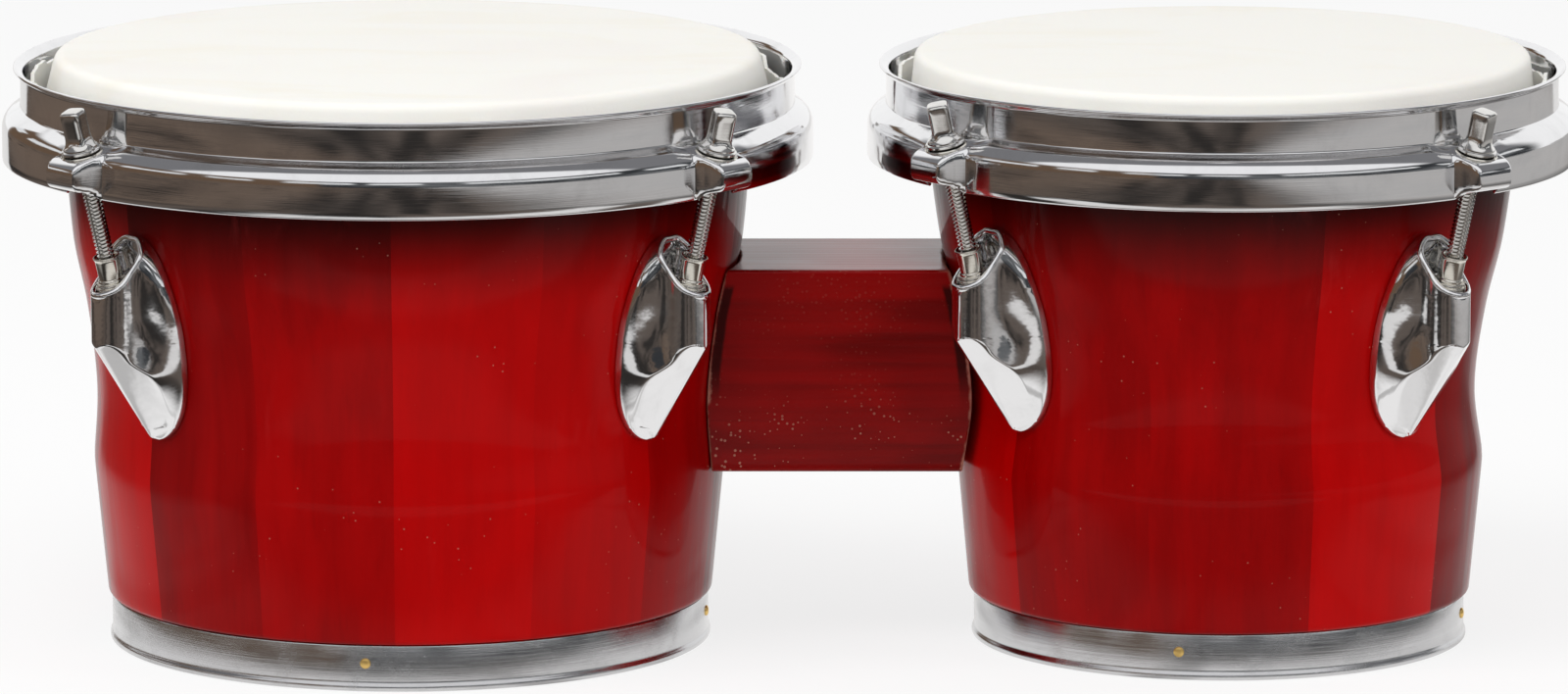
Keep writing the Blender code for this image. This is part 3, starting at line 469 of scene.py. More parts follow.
class Drum:
    """One drum's sizes, with the outlines and places that are worked out from them."""

    def __init__(self, settings, name):
        self.name = name
        self.all = settings
        self.own = getattr(settings, name)
        self.x = middle_x(f"head_{name}")
        self.block_side = 1 if name == "large" else -1

    def outline(self):
        """Height and radius of the turning points of the shell."""
        shell, own = self.all.shell, self.own
        foot = shell.ring_height + shell.gap + shell.foot_round
        top = self.shell_top() - shell.edge
        return ((foot, own.foot), (shell.hip, own.hip), (shell.waist, own.waist),
                (shell.flare, own.flare), (shell.shoulder, own.shoulder), (top, own.top))

    def shell_top(self):
        """Height of the bearing edge."""
        shell = self.all.shell
        return shell.head_top - shell.skin - shell.gap

    def radius(self, height):
        """Outer radius of the shell at a height."""
        points = self.outline()
        foot, hip = points[0], points[1]
        if height <= hip[0]:
            return blend(foot[1], hip[1], (height - foot[0]) / (hip[0] - foot[0]))
        points = points[1:]
        last = len(points) - 1
        index = 0
        while index < last - 1 and height > points[index + 1][0]:
            index += 1
        (low_z, low_r), (high_z, high_r) = points[index], points[index + 1]
        span = high_z - low_z
        slopes = []
        for end in (index, index + 1):
            before, after = points[max(end - 1, 0)], points[min(end + 1, last)]
            slopes.append((after[1] - before[1]) / (after[0] - before[0]) * span)
        t = (height - low_z) / span
        square, cube = t * t, t * t * t
        return (low_r * (2 * cube - 3 * square + 1) + slopes[0] * (cube - 2 * square + t)
                + high_r * (3 * square - 2 * cube) + slopes[1] * (cube - square))

    def azimuths(self):
        """Azimuths of the four lugs, front left, front right, back right and back left."""
        a = self.own.spread
        return [each + self.own.turn for each in (-a, a, math.pi - a, math.pi + a)]

    def hoop(self):
        """Distance from the drum's axis to the middle of the flesh hoop's wire."""
        return self.own.band - HOOP_INSIDE_BAND

    def ear(self):
        """Distance from the drum's axis to where a rod crosses its ear's face."""
        return self.own.band + self.own.reach

    def boss(self):
        """Distance from the drum's axis to the middle of a boss."""
        rise = self.all.rim.ear_face - self.all.rod.seat
        return self.ear() - rise * math.tan(self.all.rim.lean)

    def axis(self):
        """Matrix of the drum's axis."""
        return Matrix.Translation((self.x, 0.0, 0.0))

    def at(self, azimuth):
        """Matrix that turns a piece's +X to an azimuth about the drum's axis."""
        return self.axis() @ Matrix.Rotation(azimuth - math.pi / 2, 4, "Z")

    def leaning(self, azimuth, radius, height):
        """Matrix that stands a piece's own Z along the leaning rod."""
        lean = Matrix.Rotation(self.all.rim.lean, 4, "Y")
        return self.at(azimuth) @ Matrix.Translation((radius, 0.0, height)) @ lean

    def inward_screw(self, azimuth, radius, height):
        """Matrix that stands a screw's own Z outward from inside the shell."""
        turn = Matrix.Rotation(math.pi / 2, 4, "Y")
        return self.at(azimuth) @ Matrix.Translation((radius, 0.0, height)) @ turn


def drums(context):
    """The two drums, from the scene's settings."""
    return [Drum(context.scene.bongos, name) for name in DRUMS]


# Shells, rings and nails

SHELL_SIDES_PER_STAVE = {"large": 12, "small": 16}
STAVE_TONE_SEED = {"large": 548, "small": 6103}
INSIDE_STEPS = 16
LEDGE_ROW = 2


def shell_section(drum):
    """Closed section of a shell, from its foot up the outside and down the inside."""
    shell = drum.all.shell
    rebate = drum.own.ring - shell.ring_sheet - shell.gap
    ledge = shell.ring_height + shell.gap
    top = drum.shell_top()
    corner = drum.own.foot
    section = [(rebate - shell.wall, 0.0), (rebate, 0.0), (rebate, ledge)]
    soft = shell.foot_round
    section += ellipse(corner - soft, ledge + soft, soft, soft, -math.pi / 2, 0.0, 5)
    for z in spread(ledge + soft, top - shell.edge, 56)[1:]:
        section.append((sum(drum.radius(z + step * MM) for step in (-1.6, 0.0, 1.6)) / 3, z))
    edge = shell.edge
    section += ellipse(drum.own.top - edge, top - edge, edge, edge, 0.0, math.pi / 2, 6)[1:]
    section.append((drum.own.top - shell.wall, top - shell.bevel))
    inner = spread(top - shell.bevel, ledge, INSIDE_STEPS)[1:]
    section += [(drum.radius(z) - shell.wall, z) for z in inner]
    return section


def shell_mesh(drum):
    """Shell whose columns follow its staves. Each face keeps its stave's tone."""
    own = drum.own
    sides = SHELL_SIDES_PER_STAVE[drum.name]
    total = own.staves * sides
    turns = [own.first_joint + 2 * math.pi * i / total for i in range(total)]
    section = shell_section(drum)
    edge_row = len(section) - INSIDE_STEPS - 2
    rows = [[at_azimuth(a, r, z) for a in turns] for r, z in section]
    mesh = skin_rows(f"shell_{drum.name}", rows, closed=True,
                     zone=lambda row: 0 if LEDGE_ROW <= row < edge_row else 1)
    chance = random.Random(STAVE_TONE_SEED[drum.name])
    tones = [chance.random() for _ in range(own.staves)]
    keep = mesh.attributes.new("stave_tone", "FLOAT", "FACE")
    for polygon in mesh.polygons:
        azimuth = math.atan2(polygon.center.x, -polygon.center.y)
        place = ((azimuth - own.first_joint) / (2 * math.pi)) % 1.0
        keep.data[polygon.index].value = tones[int(place * own.staves) % own.staves]
    return mesh


def ring_mesh(drum):
    """Base ring: a band with a bead along its lower edge."""
    shell = drum.all.shell
    r, bead = drum.own.ring, shell.ring_bead
    path = [(r + bead * 0.2, 0.15 * MM, 0.0), (r + bead, 0.4 * MM, 0.4 * MM),
            (r + bead, bead * 2.6, 0.5 * MM), (r, bead * 4.0, 0.5 * MM),
            (r, shell.ring_height - 0.4 * MM, 0.0)]
    loop = sheet_loop(soft_path(path, 4), shell.ring_sheet)
    return turned(f"base_ring_{drum.name}", loop, 192)


def nail_mesh():
    """Round-headed nail, its zero on the ring and its head along +Z."""
    head, dome, stem, deep = 1.45 * MM, 0.75 * MM, 0.6 * MM, 4.0 * MM
    section = [(stem, -deep), (stem, -0.1 * MM), (head, -0.1 * MM)]
    section += ellipse(0.0, dome * 0.25, head, dome * 0.75, 0.0, math.pi / 2, 6)[:-1]
    section.append((0.0, dome))
    return turned("nail", section, 24, closed=False)


class BONGO_OT_shells(bpy.types.Operator):
    """Turn the stave shells and their base rings, and drive the rings' nails"""
    bl_idname = "bongo.shells"
    bl_label = "Shells and rings"

    def execute(self, context):
        nail = nail_mesh()
        for drum in drums(context):
            tag = drum.name
            shell = drum.all.shell
            put(f"stave_shell_{tag}", shell_mesh(drum), ("stained_staves", "raw_staves"), "root",
                (f"shell_{tag}",), drum.axis(), sharp=50)
            put(f"satin_ring_{tag}", ring_mesh(drum), ("satin_band",), "root",
                (f"base_ring_{tag}",), drum.axis())
            for k in range(shell.nails):
                azimuth = drum.own.first_nail + 2 * math.pi * k / shell.nails
                spot = drum.inward_screw(azimuth, drum.own.ring, shell.ring_height * 0.62)
                put(f"ring_nail_{tag}_{k + 1}", nail, ("brass",), "root", matrix=spot)
        return {"FINISHED"}


# Heads

def skin_corners(drum):
    """The skin's outer face in section, from the playing surface round the hoop to its tail."""
    shell = drum.all.shell
    top, edge = shell.head_top, drum.own.top
    wrap = shell.hoop_wire + 2 * shell.gap + shell.skin
    inside, outside = drum.hoop() - wrap, drum.hoop() + wrap
    tail = drum.own.band - 2.2 * MM
    low, high = shell.hoop - wrap, shell.hoop + wrap
    return [
        (edge - 4.5 * MM, top, 0.0),
        (edge + 0.9 * MM, top, 2.6 * MM),
        (inside, shell.hoop + 7.0 * MM, 2.5 * MM),
        (inside, low, 2.2 * MM),
        (outside, low, 2.2 * MM),
        (outside, high, 1.6 * MM),
        (tail, high + 0.6 * MM, 1.0 * MM),
        (tail, shell.tail, 0.0),
    ]


def skin_mesh(drum):
    """Rawhide head. Its trimmed edge stands up in short uneven pleats inside the rim."""
    shell = drum.all.shell
    path = soft_path(skin_corners(drum), 6)
    under = beside(path, -shell.skin)
    chance = random.Random(f"trim {drum.name}")
    columns = 340
    azimuths = around(columns)
    heights, pleats = [], []
    while len(heights) < columns:
        run = chance.randint(4, 11)
        level = chance.uniform(-2.6, 1.9) * MM
        fold = chance.uniform(-0.55, 0.75) * MM
        for k in range(run):
            heights.append(level + chance.uniform(-0.25, 0.25) * MM)
            pleats.append(fold * math.sin(math.pi * (k + 0.5) / run))
    tail_from = shell.hoop + 4.5 * MM
    tail_radius = drum.own.band - 5.5 * MM

    def ragged(point, column):
        r, z = point
        if r > tail_radius and z > tail_from:
            rise = (z - tail_from) / (shell.tail - tail_from)
            z += heights[column] * rise
            r -= abs(pleats[column]) * rise + 0.5 * MM * rise
        return r, z

    def flat(reaches, height):
        return [[at_azimuth(a, path[0].x * t, height) for a in azimuths] for t in reaches]

    rows = flat(spread(0.04, 1.0, 15)[:-1], shell.head_top)
    for point in path + under[::-1]:
        rows.append([at_azimuth(a, *ragged(point, i)) for i, a in enumerate(azimuths)])
    rows += flat(spread(1.0, 0.04, 6)[1:], shell.head_top - shell.skin)
    for ring in rows:
        for point in ring:
            swell = noise.noise(point * 26.0 + Vector((7.0, 0.0, 0.0)))
            point.z += swell * 0.12 * MM
    return skin_rows(f"skin_{drum.name}", rows, caps=True)


def hoop_mesh(drum):
    """Flesh hoop: one ring of wire."""
    shell = drum.all.shell
    wire = shell.hoop_wire
    section = ellipse(drum.hoop(), shell.hoop, wire, wire, 0.0, 2 * math.pi, 12)[:-1]
    return turned(f"hoop_{drum.name}", section, 128)


class BONGO_OT_heads(bpy.types.Operator):
    """Lap the rawhide heads round their flesh hoops"""
    bl_idname = "bongo.heads"
    bl_label = "Heads"

    def execute(self, context):
        for drum in drums(context):
            tag = drum.name
            put(f"rawhide_{tag}", skin_mesh(drum), ("rawhide",), "root", (f"head_{tag}",),
                drum.axis(), sharp=60)
            put(f"wire_hoop_{tag}", hoop_mesh(drum), ("hoop_wire",), "root",
                (f"flesh_hoop_{tag}",), drum.axis())
        return {"FINISHED"}


# Rims

def ear_part(drum, azimuth, foot):
    """How far the rim is an ear at an azimuth: 1 on an ear's flat, 0 clear of its foot."""
    flat = drum.all.rim.ear_flat
    away = min(abs(math.remainder(azimuth - middle, 2 * math.pi)) for middle in drum.azimuths())
    return ease((foot / 2 - away * drum.ear()) / (foot - flat) * 2)


def rim_corners(drum, azimuth):
    """Corners of the rim's outer face in section at an azimuth, from its lip to its edge."""
    rim = drum.all.rim
    tab, fillet = ear_part(drum, azimuth, rim.ear_foot), ear_part(drum, azimuth, rim.ear_fillet)
    parts = (0.0, 0.0, fillet, tab, tab, tab)
    band, skirt = drum.own.band, drum.own.band + rim.step
    fall = math.tan(rim.lean)
    rod = drum.ear()
    foot, edge = band - 0.5 * MM, rod + rim.ear_reach
    plain = [
        (band + rim.lip + 0.1 * MM, rim.top - 0.6 * MM, 0.0),
        (band, rim.top - 1.7 * MM, 1.2 * MM),
        (band, rim.shoulder, 1.0 * MM),
        (skirt, rim.shoulder - 3.0 * MM, 2.6 * MM),
        (skirt, rim.bottom + 3.0 * MM, 0.8 * MM),
        (skirt, rim.bottom + 0.5 * MM, 0.0),
    ]
    ear = [
        plain[0],
        plain[1],
        (foot, rim.ear_face - (foot - rod) * fall, 1.6 * MM),
        (edge, rim.ear_face - (edge - rod) * fall, 2.2 * MM),
        (edge, rim.ear_bottom, 1.6 * MM),
        (edge - 3.4 * MM, rim.ear_bottom + 0.2 * MM, 0.0),
    ]
    return [tuple(blend(a, b, part) for a, b in zip(*pair)) for *pair, part in zip(plain, ear, parts)]


def rim_columns(drum):
    """Azimuths of the rim's sections: even all round, and close together across each ear."""
    rim = drum.all.rim
    half = rim.ear_fillet / 2 / drum.ear() + math.radians(0.5)
    columns = []
    for middle in drum.azimuths():
        columns += spread(middle - half, middle + half, 56)
    for azimuth in around(200):
        if all(abs(math.remainder(azimuth - m, 2 * math.pi)) > half * 1.04 for m in drum.azimuths()):
            columns.append(azimuth)
    return sorted(a % (2 * math.pi) for a in columns)


def rim_mesh(drum):
    """Pressed rim with four ears, each with a slot for its rod."""
    rim, rod = drum.all.rim, drum.all.rod
    columns = rim_columns(drum)
    loops = [sheet_loop(soft_path(rim_corners(drum, a)), rim.sheet) for a in columns]
    rows = [[at_azimuth(a, *point) for a, point in zip(columns, line)] for line in zip(*loops)]
    mesh = skin_rows(f"rim_{drum.name}", rows, closed=True)
    slot = turned("slot", [(1.0, -4.0 * MM), (1.0, 3.0 * MM)], 32, closed=False, caps=True)
    for vertex in slot.vertices:
        vertex.co.x = vertex.co.x * (rod.radius + 1.3 * MM) + 0.6 * MM
        vertex.co.y *= rod.radius + 0.5 * MM
    turn_back = drum.axis().inverted()
    places = [turn_back @ drum.leaning(a, drum.ear(), rim.ear_face) for a in drum.azimuths()]
    return cut_out(mesh, slot, places)


def cut_out(mesh, tool, places):
    """The mesh that is left of a mesh after a tool is taken away at several places."""
    piece = placed("uncut", mesh)
    helpers = []
    for place in places:
        helper = placed("tool", tool)
        helper.matrix_world = place
        change = piece.modifiers.new("cut", "BOOLEAN")
        change.operation = "DIFFERENCE"
        change.object = helper
        helpers.append(helper)
    bpy.context.view_layer.update()
    seen = piece.evaluated_get(bpy.context.evaluated_depsgraph_get())
    result = bpy.data.meshes.new_from_object(seen)
    for thing in [piece] + helpers:
        bpy.data.objects.remove(thing)
    if len(result.polygons) in (0, len(mesh.polygons)):
        raise RuntimeError(f"Nothing could be cut from {mesh.name}")
    return result


class BONGO_OT_rims(bpy.types.Operator):
    """Press the rims with their ears and slots"""
    bl_idname = "bongo.rims"
    bl_label = "Rims"

    def execute(self, context):
        for drum in drums(context):
            tag = drum.name
            put(f"pressed_rim_{tag}", rim_mesh(drum), ("rim_chrome",), f"rim_{tag}_body",
                (f"rim_{tag}",), drum.axis(), sharp=50)
        return {"FINISHED"}


# Rods, washers and nuts

THREAD_SIDES = 24
HEAD_SIDES = 64
SQUARE_POWER = 5.0
THREAD_PROFILE = ((0.00, 0.0), (0.14, 0.0), (0.46, 1.0), (0.66, 1.0))


def thread_mesh(rod, low, high):
    """Right-hand thread along Z between two heights, capped at both."""
    crest, root = rod.radius, rod.radius - rod.depth
    turns = int((high - low) / rod.pitch) + 2
    shape = bmesh.new()
    columns = []
    for turn in spread(0.0, 1.0, THREAD_SIDES)[:-1]:
        a = 2 * math.pi * turn
        column = []
        for k in range(turns):
            for phase, height in THREAD_PROFILE:
                z = clamp(low + (k + phase + turn - 1.0) * rod.pitch, low, high)
                r = blend(root, crest, height)
                column.append(shape.verts.new((r * math.cos(a), r * math.sin(a), z)))
        columns.append(column)
    one_turn_up = columns[0][len(THREAD_PROFILE):]
    for left, right in zip(columns, columns[1:] + [one_turn_up]):
        for k in range(len(right) - 1):
            shape.faces.new((left[k], right[k], right[k + 1], left[k + 1]))
    bmesh.ops.remove_doubles(shape, verts=shape.verts, dist=2e-6)
    bmesh.ops.dissolve_degenerate(shape, edges=shape.edges, dist=2e-6)
    bmesh.ops.holes_fill(shape, edges=shape.edges, sides=0)
    bmesh.ops.recalc_face_normals(shape, faces=shape.faces)
    return finished("thread", shape)


def square_row(half, height, squared, turn):
    """Level outline between a circle and a rounded square, turned about the rod."""
    power = blend(2.0, SQUARE_POWER, squared)
    row = []
    for a in around(HEAD_SIDES):
        reach = half / (abs(math.cos(a)) ** power + abs(math.sin(a)) ** power) ** (1.0 / power)
        row.append((reach * math.cos(a + turn), reach * math.sin(a + turn), height))
    return row


def rod_head_mesh(drum, turn):
    """Flange, bell and square head above the ear's face, turned about the rod."""
    rod, gap = drum.all.rod, drum.all.shell.gap
    seat = gap * 2 + rod.plate
    collar = seat + rod.plate
    half, neck, bell_from = rod.head / 2, rod.flange - 0.95 * MM, collar + 0.75 * MM
    top, soft = collar + rod.bell + rod.head_height, 0.9 * MM
    levels = [
        (rod.radius - 0.4 * MM, seat, 0.0), (rod.flange - 0.25 * MM, seat, 0.0),
        (rod.flange, seat + 0.3 * MM, 0.0), (rod.flange, collar - 0.3 * MM, 0.0),
        (rod.flange - 0.3 * MM, collar, 0.0), (rod.flange - 0.55 * MM, collar + 0.05 * MM, 0.0),
        (rod.flange - 0.60 * MM, collar + 0.45 * MM, 0.0), (neck, bell_from, 0.0),
    ]
    for t in spread(0.0, 1.0, 7)[1:]:
        height = blend(bell_from, collar + rod.bell + 1.2 * MM, t)
        levels.append((blend(neck, half, 1 - (1 - t) ** 2.2), height, ease(t)))
    levels += [(half, top - 2.6 * MM, 1.0), (half, top - soft, 1.0)]
    levels += [(r, z, 0.8) for r, z in ellipse(half - soft, top - soft, soft, soft, 0.0, math.pi / 2, 4)[1:]]
    levels.append((half * 0.45, top + 0.12 * MM, 0.6))
    return skin_rows("rod_head", [square_row(*level, turn) for level in levels], caps=True)


def washer_mesh(drum):
    """Flat washer with rubbed edges."""
    rod, gap = drum.all.rod, drum.all.shell.gap
    bore, soft = rod.radius + 0.5 * MM, 0.25 * MM
    low, high = gap, gap + rod.plate
    section = [(bore, low), (rod.washer - soft, low), (rod.washer, low + soft),
               (rod.washer, high - soft), (rod.washer - soft, high), (bore + soft, high),
               (bore, high - soft)]
    return turned("washer", section, 48)


def nut_mesh(drum):
    """Threaded nut: stepped seat, tall sleeve and a lip with a countersunk mouth."""
    rod = drum.all.rod
    sleeve, flange, top = rod.nut_sleeve, rod.nut_flange, rod.nut_height
    bore = rod.radius + 0.15 * MM
    corners = [
        (bore, -6.0 * MM, 0.0), (sleeve + 0.1 * MM, -6.0 * MM, 0.0), (sleeve + 0.1 * MM, 0.3 * MM, 0.0),
        (flange, 0.3 * MM, 0.3 * MM), (flange, 1.5 * MM, 0.4 * MM),
        (flange - 0.5 * MM, 1.6 * MM, 0.1 * MM), (flange - 0.3 * MM, 2.5 * MM, 0.35 * MM),
        (sleeve + 0.3 * MM, 2.6 * MM, 0.1 * MM), (sleeve + 0.35 * MM, 3.2 * MM, 0.2 * MM),
        (sleeve - 0.05 * MM, 3.5 * MM, 0.2 * MM), (sleeve, top - 0.9 * MM, 0.4 * MM),
        (sleeve + 0.35 * MM, top - 0.35 * MM, 0.2 * MM), (sleeve + 0.3 * MM, top, 0.2 * MM),
        (bore + 0.5 * MM, top, 0.2 * MM), (bore, top - 0.6 * MM, 0.0),
    ]
    return turned("lug_nut", soft_path(corners, 3), 48)


HEAD_TURN_DEGREES = {"large": (22, 61, 35, 80), "small": (50, 15, 70, 28)}


class BONGO_OT_rods(bpy.types.Operator):
    """Make the tension rods, their washers and the nuts that they screw into"""
    bl_idname = "bongo.rods"
    bl_label = "Rods, washers and nuts"

    def execute(self, context):
        for drum in drums(context):
            rod, rim = drum.all.rod, drum.all.rim
            thread = thread_mesh(rod, -rod.shank, drum.all.shell.gap * 2 + rod.plate)
            washer, nut = washer_mesh(drum), nut_mesh(drum)
            for k, azimuth, degrees in zip(CORNERS, drum.azimuths(), HEAD_TURN_DEGREES[drum.name]):
                tag = f"{drum.name}_{k}"
                ear = drum.leaning(azimuth, drum.ear(), rim.ear_face)
                whole = joined("rod", [thread, rod_head_mesh(drum, math.radians(degrees))])
                put(f"key_rod_{tag}", whole, ("rod_chrome",), f"rod_{tag}_body",
                    (f"tension_rod_{tag}",), ear, sharp=35)
                put(f"flat_washer_{tag}", washer, ("nickel",), f"washer_{tag}_body",
                    (f"washer_{tag}",), ear)
                seat = drum.leaning(azimuth, drum.boss(), rod.seat)
                put(f"sleeve_nut_{tag}", nut, ("nickel",), "root", (f"lug_nut_{tag}",), seat)
        return {"FINISHED"}


# Lugs

LUG_SIDE_POINTS = 22
LUG_FRONT_POINTS = 18
BOSS_CORNER_STEPS = 14
SWEEP_STEPS = 40
PINCH_EASE = 1.4
LUG_SCREW = {"stem": 2.2 * MM, "reach": 13.0 * MM, "head": 4.1 * MM, "height": 2.4 * MM}
BLOCK_BOLT = {"stem": 2.8 * MM, "reach": 26.0 * MM, "head": 5.3 * MM, "height": 3.4 * MM}


def lug_half_width(lug, height):
    """Half width of the lug's oval foot at a height."""
    middle, half = (lug.top + lug.bottom) / 2, (lug.top - lug.bottom) / 2
    part = clamp(abs(height - middle) / half)
    return lug.half_width * math.sqrt(max(1.0 - part ** 2.6, 1e-6))


def bent(start, bend, end, height):
    """Radius at a height on the bent line through three (height, radius) points."""
    if height <= start[0] or height >= end[0]:
        low, high = (start, bend) if height <= start[0] else (bend, end)
        return blend(low[1], high[1], (height - low[0]) / (high[0] - low[0]))
    a = start[0] - 2 * bend[0] + end[0]
    b = 2 * (bend[0] - start[0])
    c = start[0] - height
    t = (math.sqrt(b * b - 4 * a * c) - b) / (2 * a) if abs(a) > 1e-9 else -c / b
    return curve(start[1], bend[1], end[1], t)


def lug_limits(drum, height):
    """How far out the lug may reach at a height: the keel below, the opening above."""
    lug = drum.all.lug
    nose = drum.boss() + lug.boss
    tip = drum.radius(lug.tip) + lug.tip_proud
    facet = blend(tip, nose, (height - lug.tip) / (lug.facet - lug.tip))
    if height < lug.tip:
        kept = ease((height - lug.bottom) / (lug.tip - lug.bottom))
        facet = drum.radius(height) + blend(lug.edge, lug.tip_proud, kept)
    opening = bent((lug.rim, nose), (lug.brow, drum.boss() - 1.0 * MM),
                   (lug.hood, drum.radius(lug.hood) + lug.hood_proud), height)
    if height < lug.rim:
        opening = nose + lug.rim - height
    return facet, opening


def keel_drop(lug, width):
    """How far the prow has fallen back from its keel at a distance from the middle."""
    return (math.hypot(width, lug.keel_round) - lug.keel_round) * math.tan(lug.keel)


def lug_floor(drum, height):
    """How far out the pocket's back or floor lies at a height."""
    lug, seat = drum.all.lug, drum.all.rod.seat
    back = drum.radius(height) + lug.back
    floor = drum.boss() + (seat - height) / math.tan(drum.all.rim.lean)
    return max(back, floor)


def walk(points, spots):
    """Points at given distances along a line of points."""
    runs = [0.0]
    for a, b in zip(points, points[1:]):
        runs.append(runs[-1] + (b - a).length)
    found, index = [], 0
    for spot in spots:
        spot = clamp(spot, 0.0, runs[-1])
        while index < len(points) - 2 and runs[index + 1] < spot:
            index += 1
        span = max(runs[index + 1] - runs[index], 1e-12)
        found.append(points[index].lerp(points[index + 1], (spot - runs[index]) / span))
    return found


def line_length(points):
    """Length of a line of points."""
    return sum((b - a).length for a, b in zip(points, points[1:]))


def lug_pinch(lug, height):
    """How much of the lug's width the prow keeps at a height, less and less toward its tip."""
    return clamp((height - lug.tip) / (lug.pinch - lug.tip), 0.01) ** 0.5


def lug_side(drum, height):
    """Level half outline of the lug before it is cut, from the shell to the boss's nose."""
    lug = drum.all.lug
    width = lug_half_width(lug, height)
    boss = min(lug.boss, width * 0.85)
    back = drum.radius(height) + drum.all.shell.gap
    centre = drum.boss()
    edge = math.sqrt(back * back - width * width)
    start, end = Vector((edge + lug.edge, width)), Vector((centre, boss))
    reach, swell = centre - start.x, width - boss
    full = ease((lug.facet + 8.0 * MM - height) / (22.0 * MM))
    near = start + Vector((reach * blend(0.42, 0.35, full), -swell * blend(0.06, 0.15, full)))
    far = end - Vector((reach * blend(0.50, 0.25, full), -swell * 0.55 * full))
    side = []
    for t in spread(0.0, 1.0, SWEEP_STEPS):
        u = 1.0 - t
        side.append(start * u ** 3 + near * 3 * u * u * t + far * 3 * u * t * t + end * t ** 3)
    for a in spread(0.0, math.pi / 2, BOSS_CORNER_STEPS)[1:]:
        side.append(Vector((centre + boss * math.sin(a), boss * math.cos(a))))
    pinch = lug_pinch(lug, height)
    proud = max(lug_limits(drum, height)[0] - start.x, 0.5 * MM)
    for point in side:
        point.y *= blend(1.0, pinch, clamp(PINCH_EASE * (point.x - start.x) / proud))
    soft = min(0.9 * MM, width * 0.5)
    before = start - Vector((soft, 0.0))
    after = side[0] + (side[1] - side[0]).normalized() * soft
    rounded = [Vector((edge, width))] + [curve(before, start, after, t) for t in spread(0.0, 1.0, 5)]
    return rounded + [point for point in side[1:] if (point - start).length > soft]


def lug_outline(drum, height):
    """Half outline after the cuts, and how far along it the cut's corner lies."""
    lug = drum.all.lug
    side = lug_side(drum, height)
    facet, opening = lug_limits(drum, height)
    prow = height < lug.rim
    widest = lug.half_width * lug_pinch(lug, height) if prow else lug.half_width
    keep = [side[0]]
    crease = None
    for a, b in zip(side, side[1:]):
        over = [p.x + keel_drop(lug, p.y) - facet if prow else p.x - opening for p in (a, b)]
        if over[1] > 0.0 and over[1] > over[0] and b.y <= widest:
            crease = a.lerp(b, clamp(over[0] / (over[0] - over[1])))
            break
        keep.append(b)
    if crease is None:
        return keep, line_length(keep) - 3.0 * MM
    keep.append(crease)
    corner = line_length(keep)
    if prow:
        keep += [Vector((min(p.x, facet - keel_drop(lug, p.y)), p.y))
                 for p in side if p.y < crease.y and p.x > crease.x]
        soft = min(lug.arris, crease.y * 0.45)
        before, after = walk(keep, [corner - soft, corner + soft])
        head = walk(keep, spread(0.0, corner - soft, 60))
        tail = walk(keep, spread(corner + soft, line_length(keep), 20))
        keep = head + [curve(before, crease, after, t) for t in spread(0.0, 1.0, 8)[1:-1]] + tail
    else:
        floor, inner = lug_floor(drum, height), crease.y - lug.wall
        if inner > 0.9 * MM and opening - floor > 0.15 * MM:
            soft = min(0.8 * MM, (opening - floor) * 0.5)
            keep += [Vector((opening, inner)), Vector((floor + soft, inner - 0.15 * MM)),
                     Vector((floor, inner - 0.15 * MM - soft)), Vector((floor, 0.0))]
        else:
            keep.append(Vector((opening, 0.0)))
    whole = line_length(keep)
    return keep, min(corner, whole - 2.5 * MM) if whole > 6 * MM else whole * 0.6


def lug_levels(drum):
    """Heights of the lug's sections, closer together at its ends and at the pocket's floor."""
    lug, seat = drum.all.lug, drum.all.rod.seat
    middle, half = (lug.top + lug.bottom) / 2, (lug.top - lug.bottom) / 2
    levels = [middle - half * 0.9995 * math.cos(t) for t in spread(0.0, math.pi, 84)]
    levels += spread(seat - 1.2 * MM, seat + 2.8 * MM, 18)
    levels += spread(lug.facet - 1.5 * MM, lug.facet + 3.0 * MM, 18)
    kept = []
    for z in sorted(levels):
        if not kept or z - kept[-1] > 0.08 * MM:
            kept.append(z)
    return kept


def lug_mesh(drum):
    """Cast lug: oval foot, swept body, boss, slanted facet and a pocket behind the nut."""
    lug = drum.all.lug
    rows, rim_line = [], []
    for z in lug_levels(drum):
        line, corner = lug_outline(drum, z)
        whole = line_length(line)
        spots = [corner * (1 - (1 - t) ** 1.3) for t in spread(0.0, 1.0, LUG_SIDE_POINTS)]
        spots += [blend(corner, whole, t) for t in spread(0.0, 1.0, LUG_FRONT_POINTS)[1:]]
        half = walk(line, spots)
        ring = [Vector((p.x, p.y, z)) for p in half]
        ring += [Vector((p.x, -p.y, z)) for p in half[-2::-1]]
        back = drum.radius(z) + drum.all.shell.gap
        width = half[0].y
        for y in spread(-width, width, 6)[1:-1]:
            ring.append(Vector((math.sqrt(back * back - y * y), y, z)))
        rows.append(ring)
        facet, opening = lug_limits(drum, z)
        if lug.rim < z < lug.hood and opening < facet:
            side = lug_side(drum, z)
            crease = next((p for p in side if p.x >= opening), side[-1])
            rim_line.append(Vector((opening, max(crease.y - lug.bead, 0.0), z)))
    body = skin_rows(f"lug_{drum.name}", rows, caps=True)
    nose = Vector((drum.boss() + lug.boss - lug.bead * 0.8, 0.0, lug.rim + 0.25 * MM))
    crown = Vector((drum.radius(lug.hood) + lug.hood_proud, 0.0, lug.hood - lug.bead))
    loop = [nose] + rim_line + [crown]
    loop += [Vector((p.x, -p.y, p.z)) for p in rim_line[::-1]]
    loop = [point for i, point in enumerate(loop) if (point - loop[i - 1]).length > 0.25 * MM]
    for _ in range(2):
        size = len(loop)
        loop = [(loop[i - 1] + loop[i] * 2 + loop[(i + 1) % size]) / 4 for i in range(size)]
    return joined(f"lug_{drum.name}", [body, tube("bead", loop, lug.bead)])


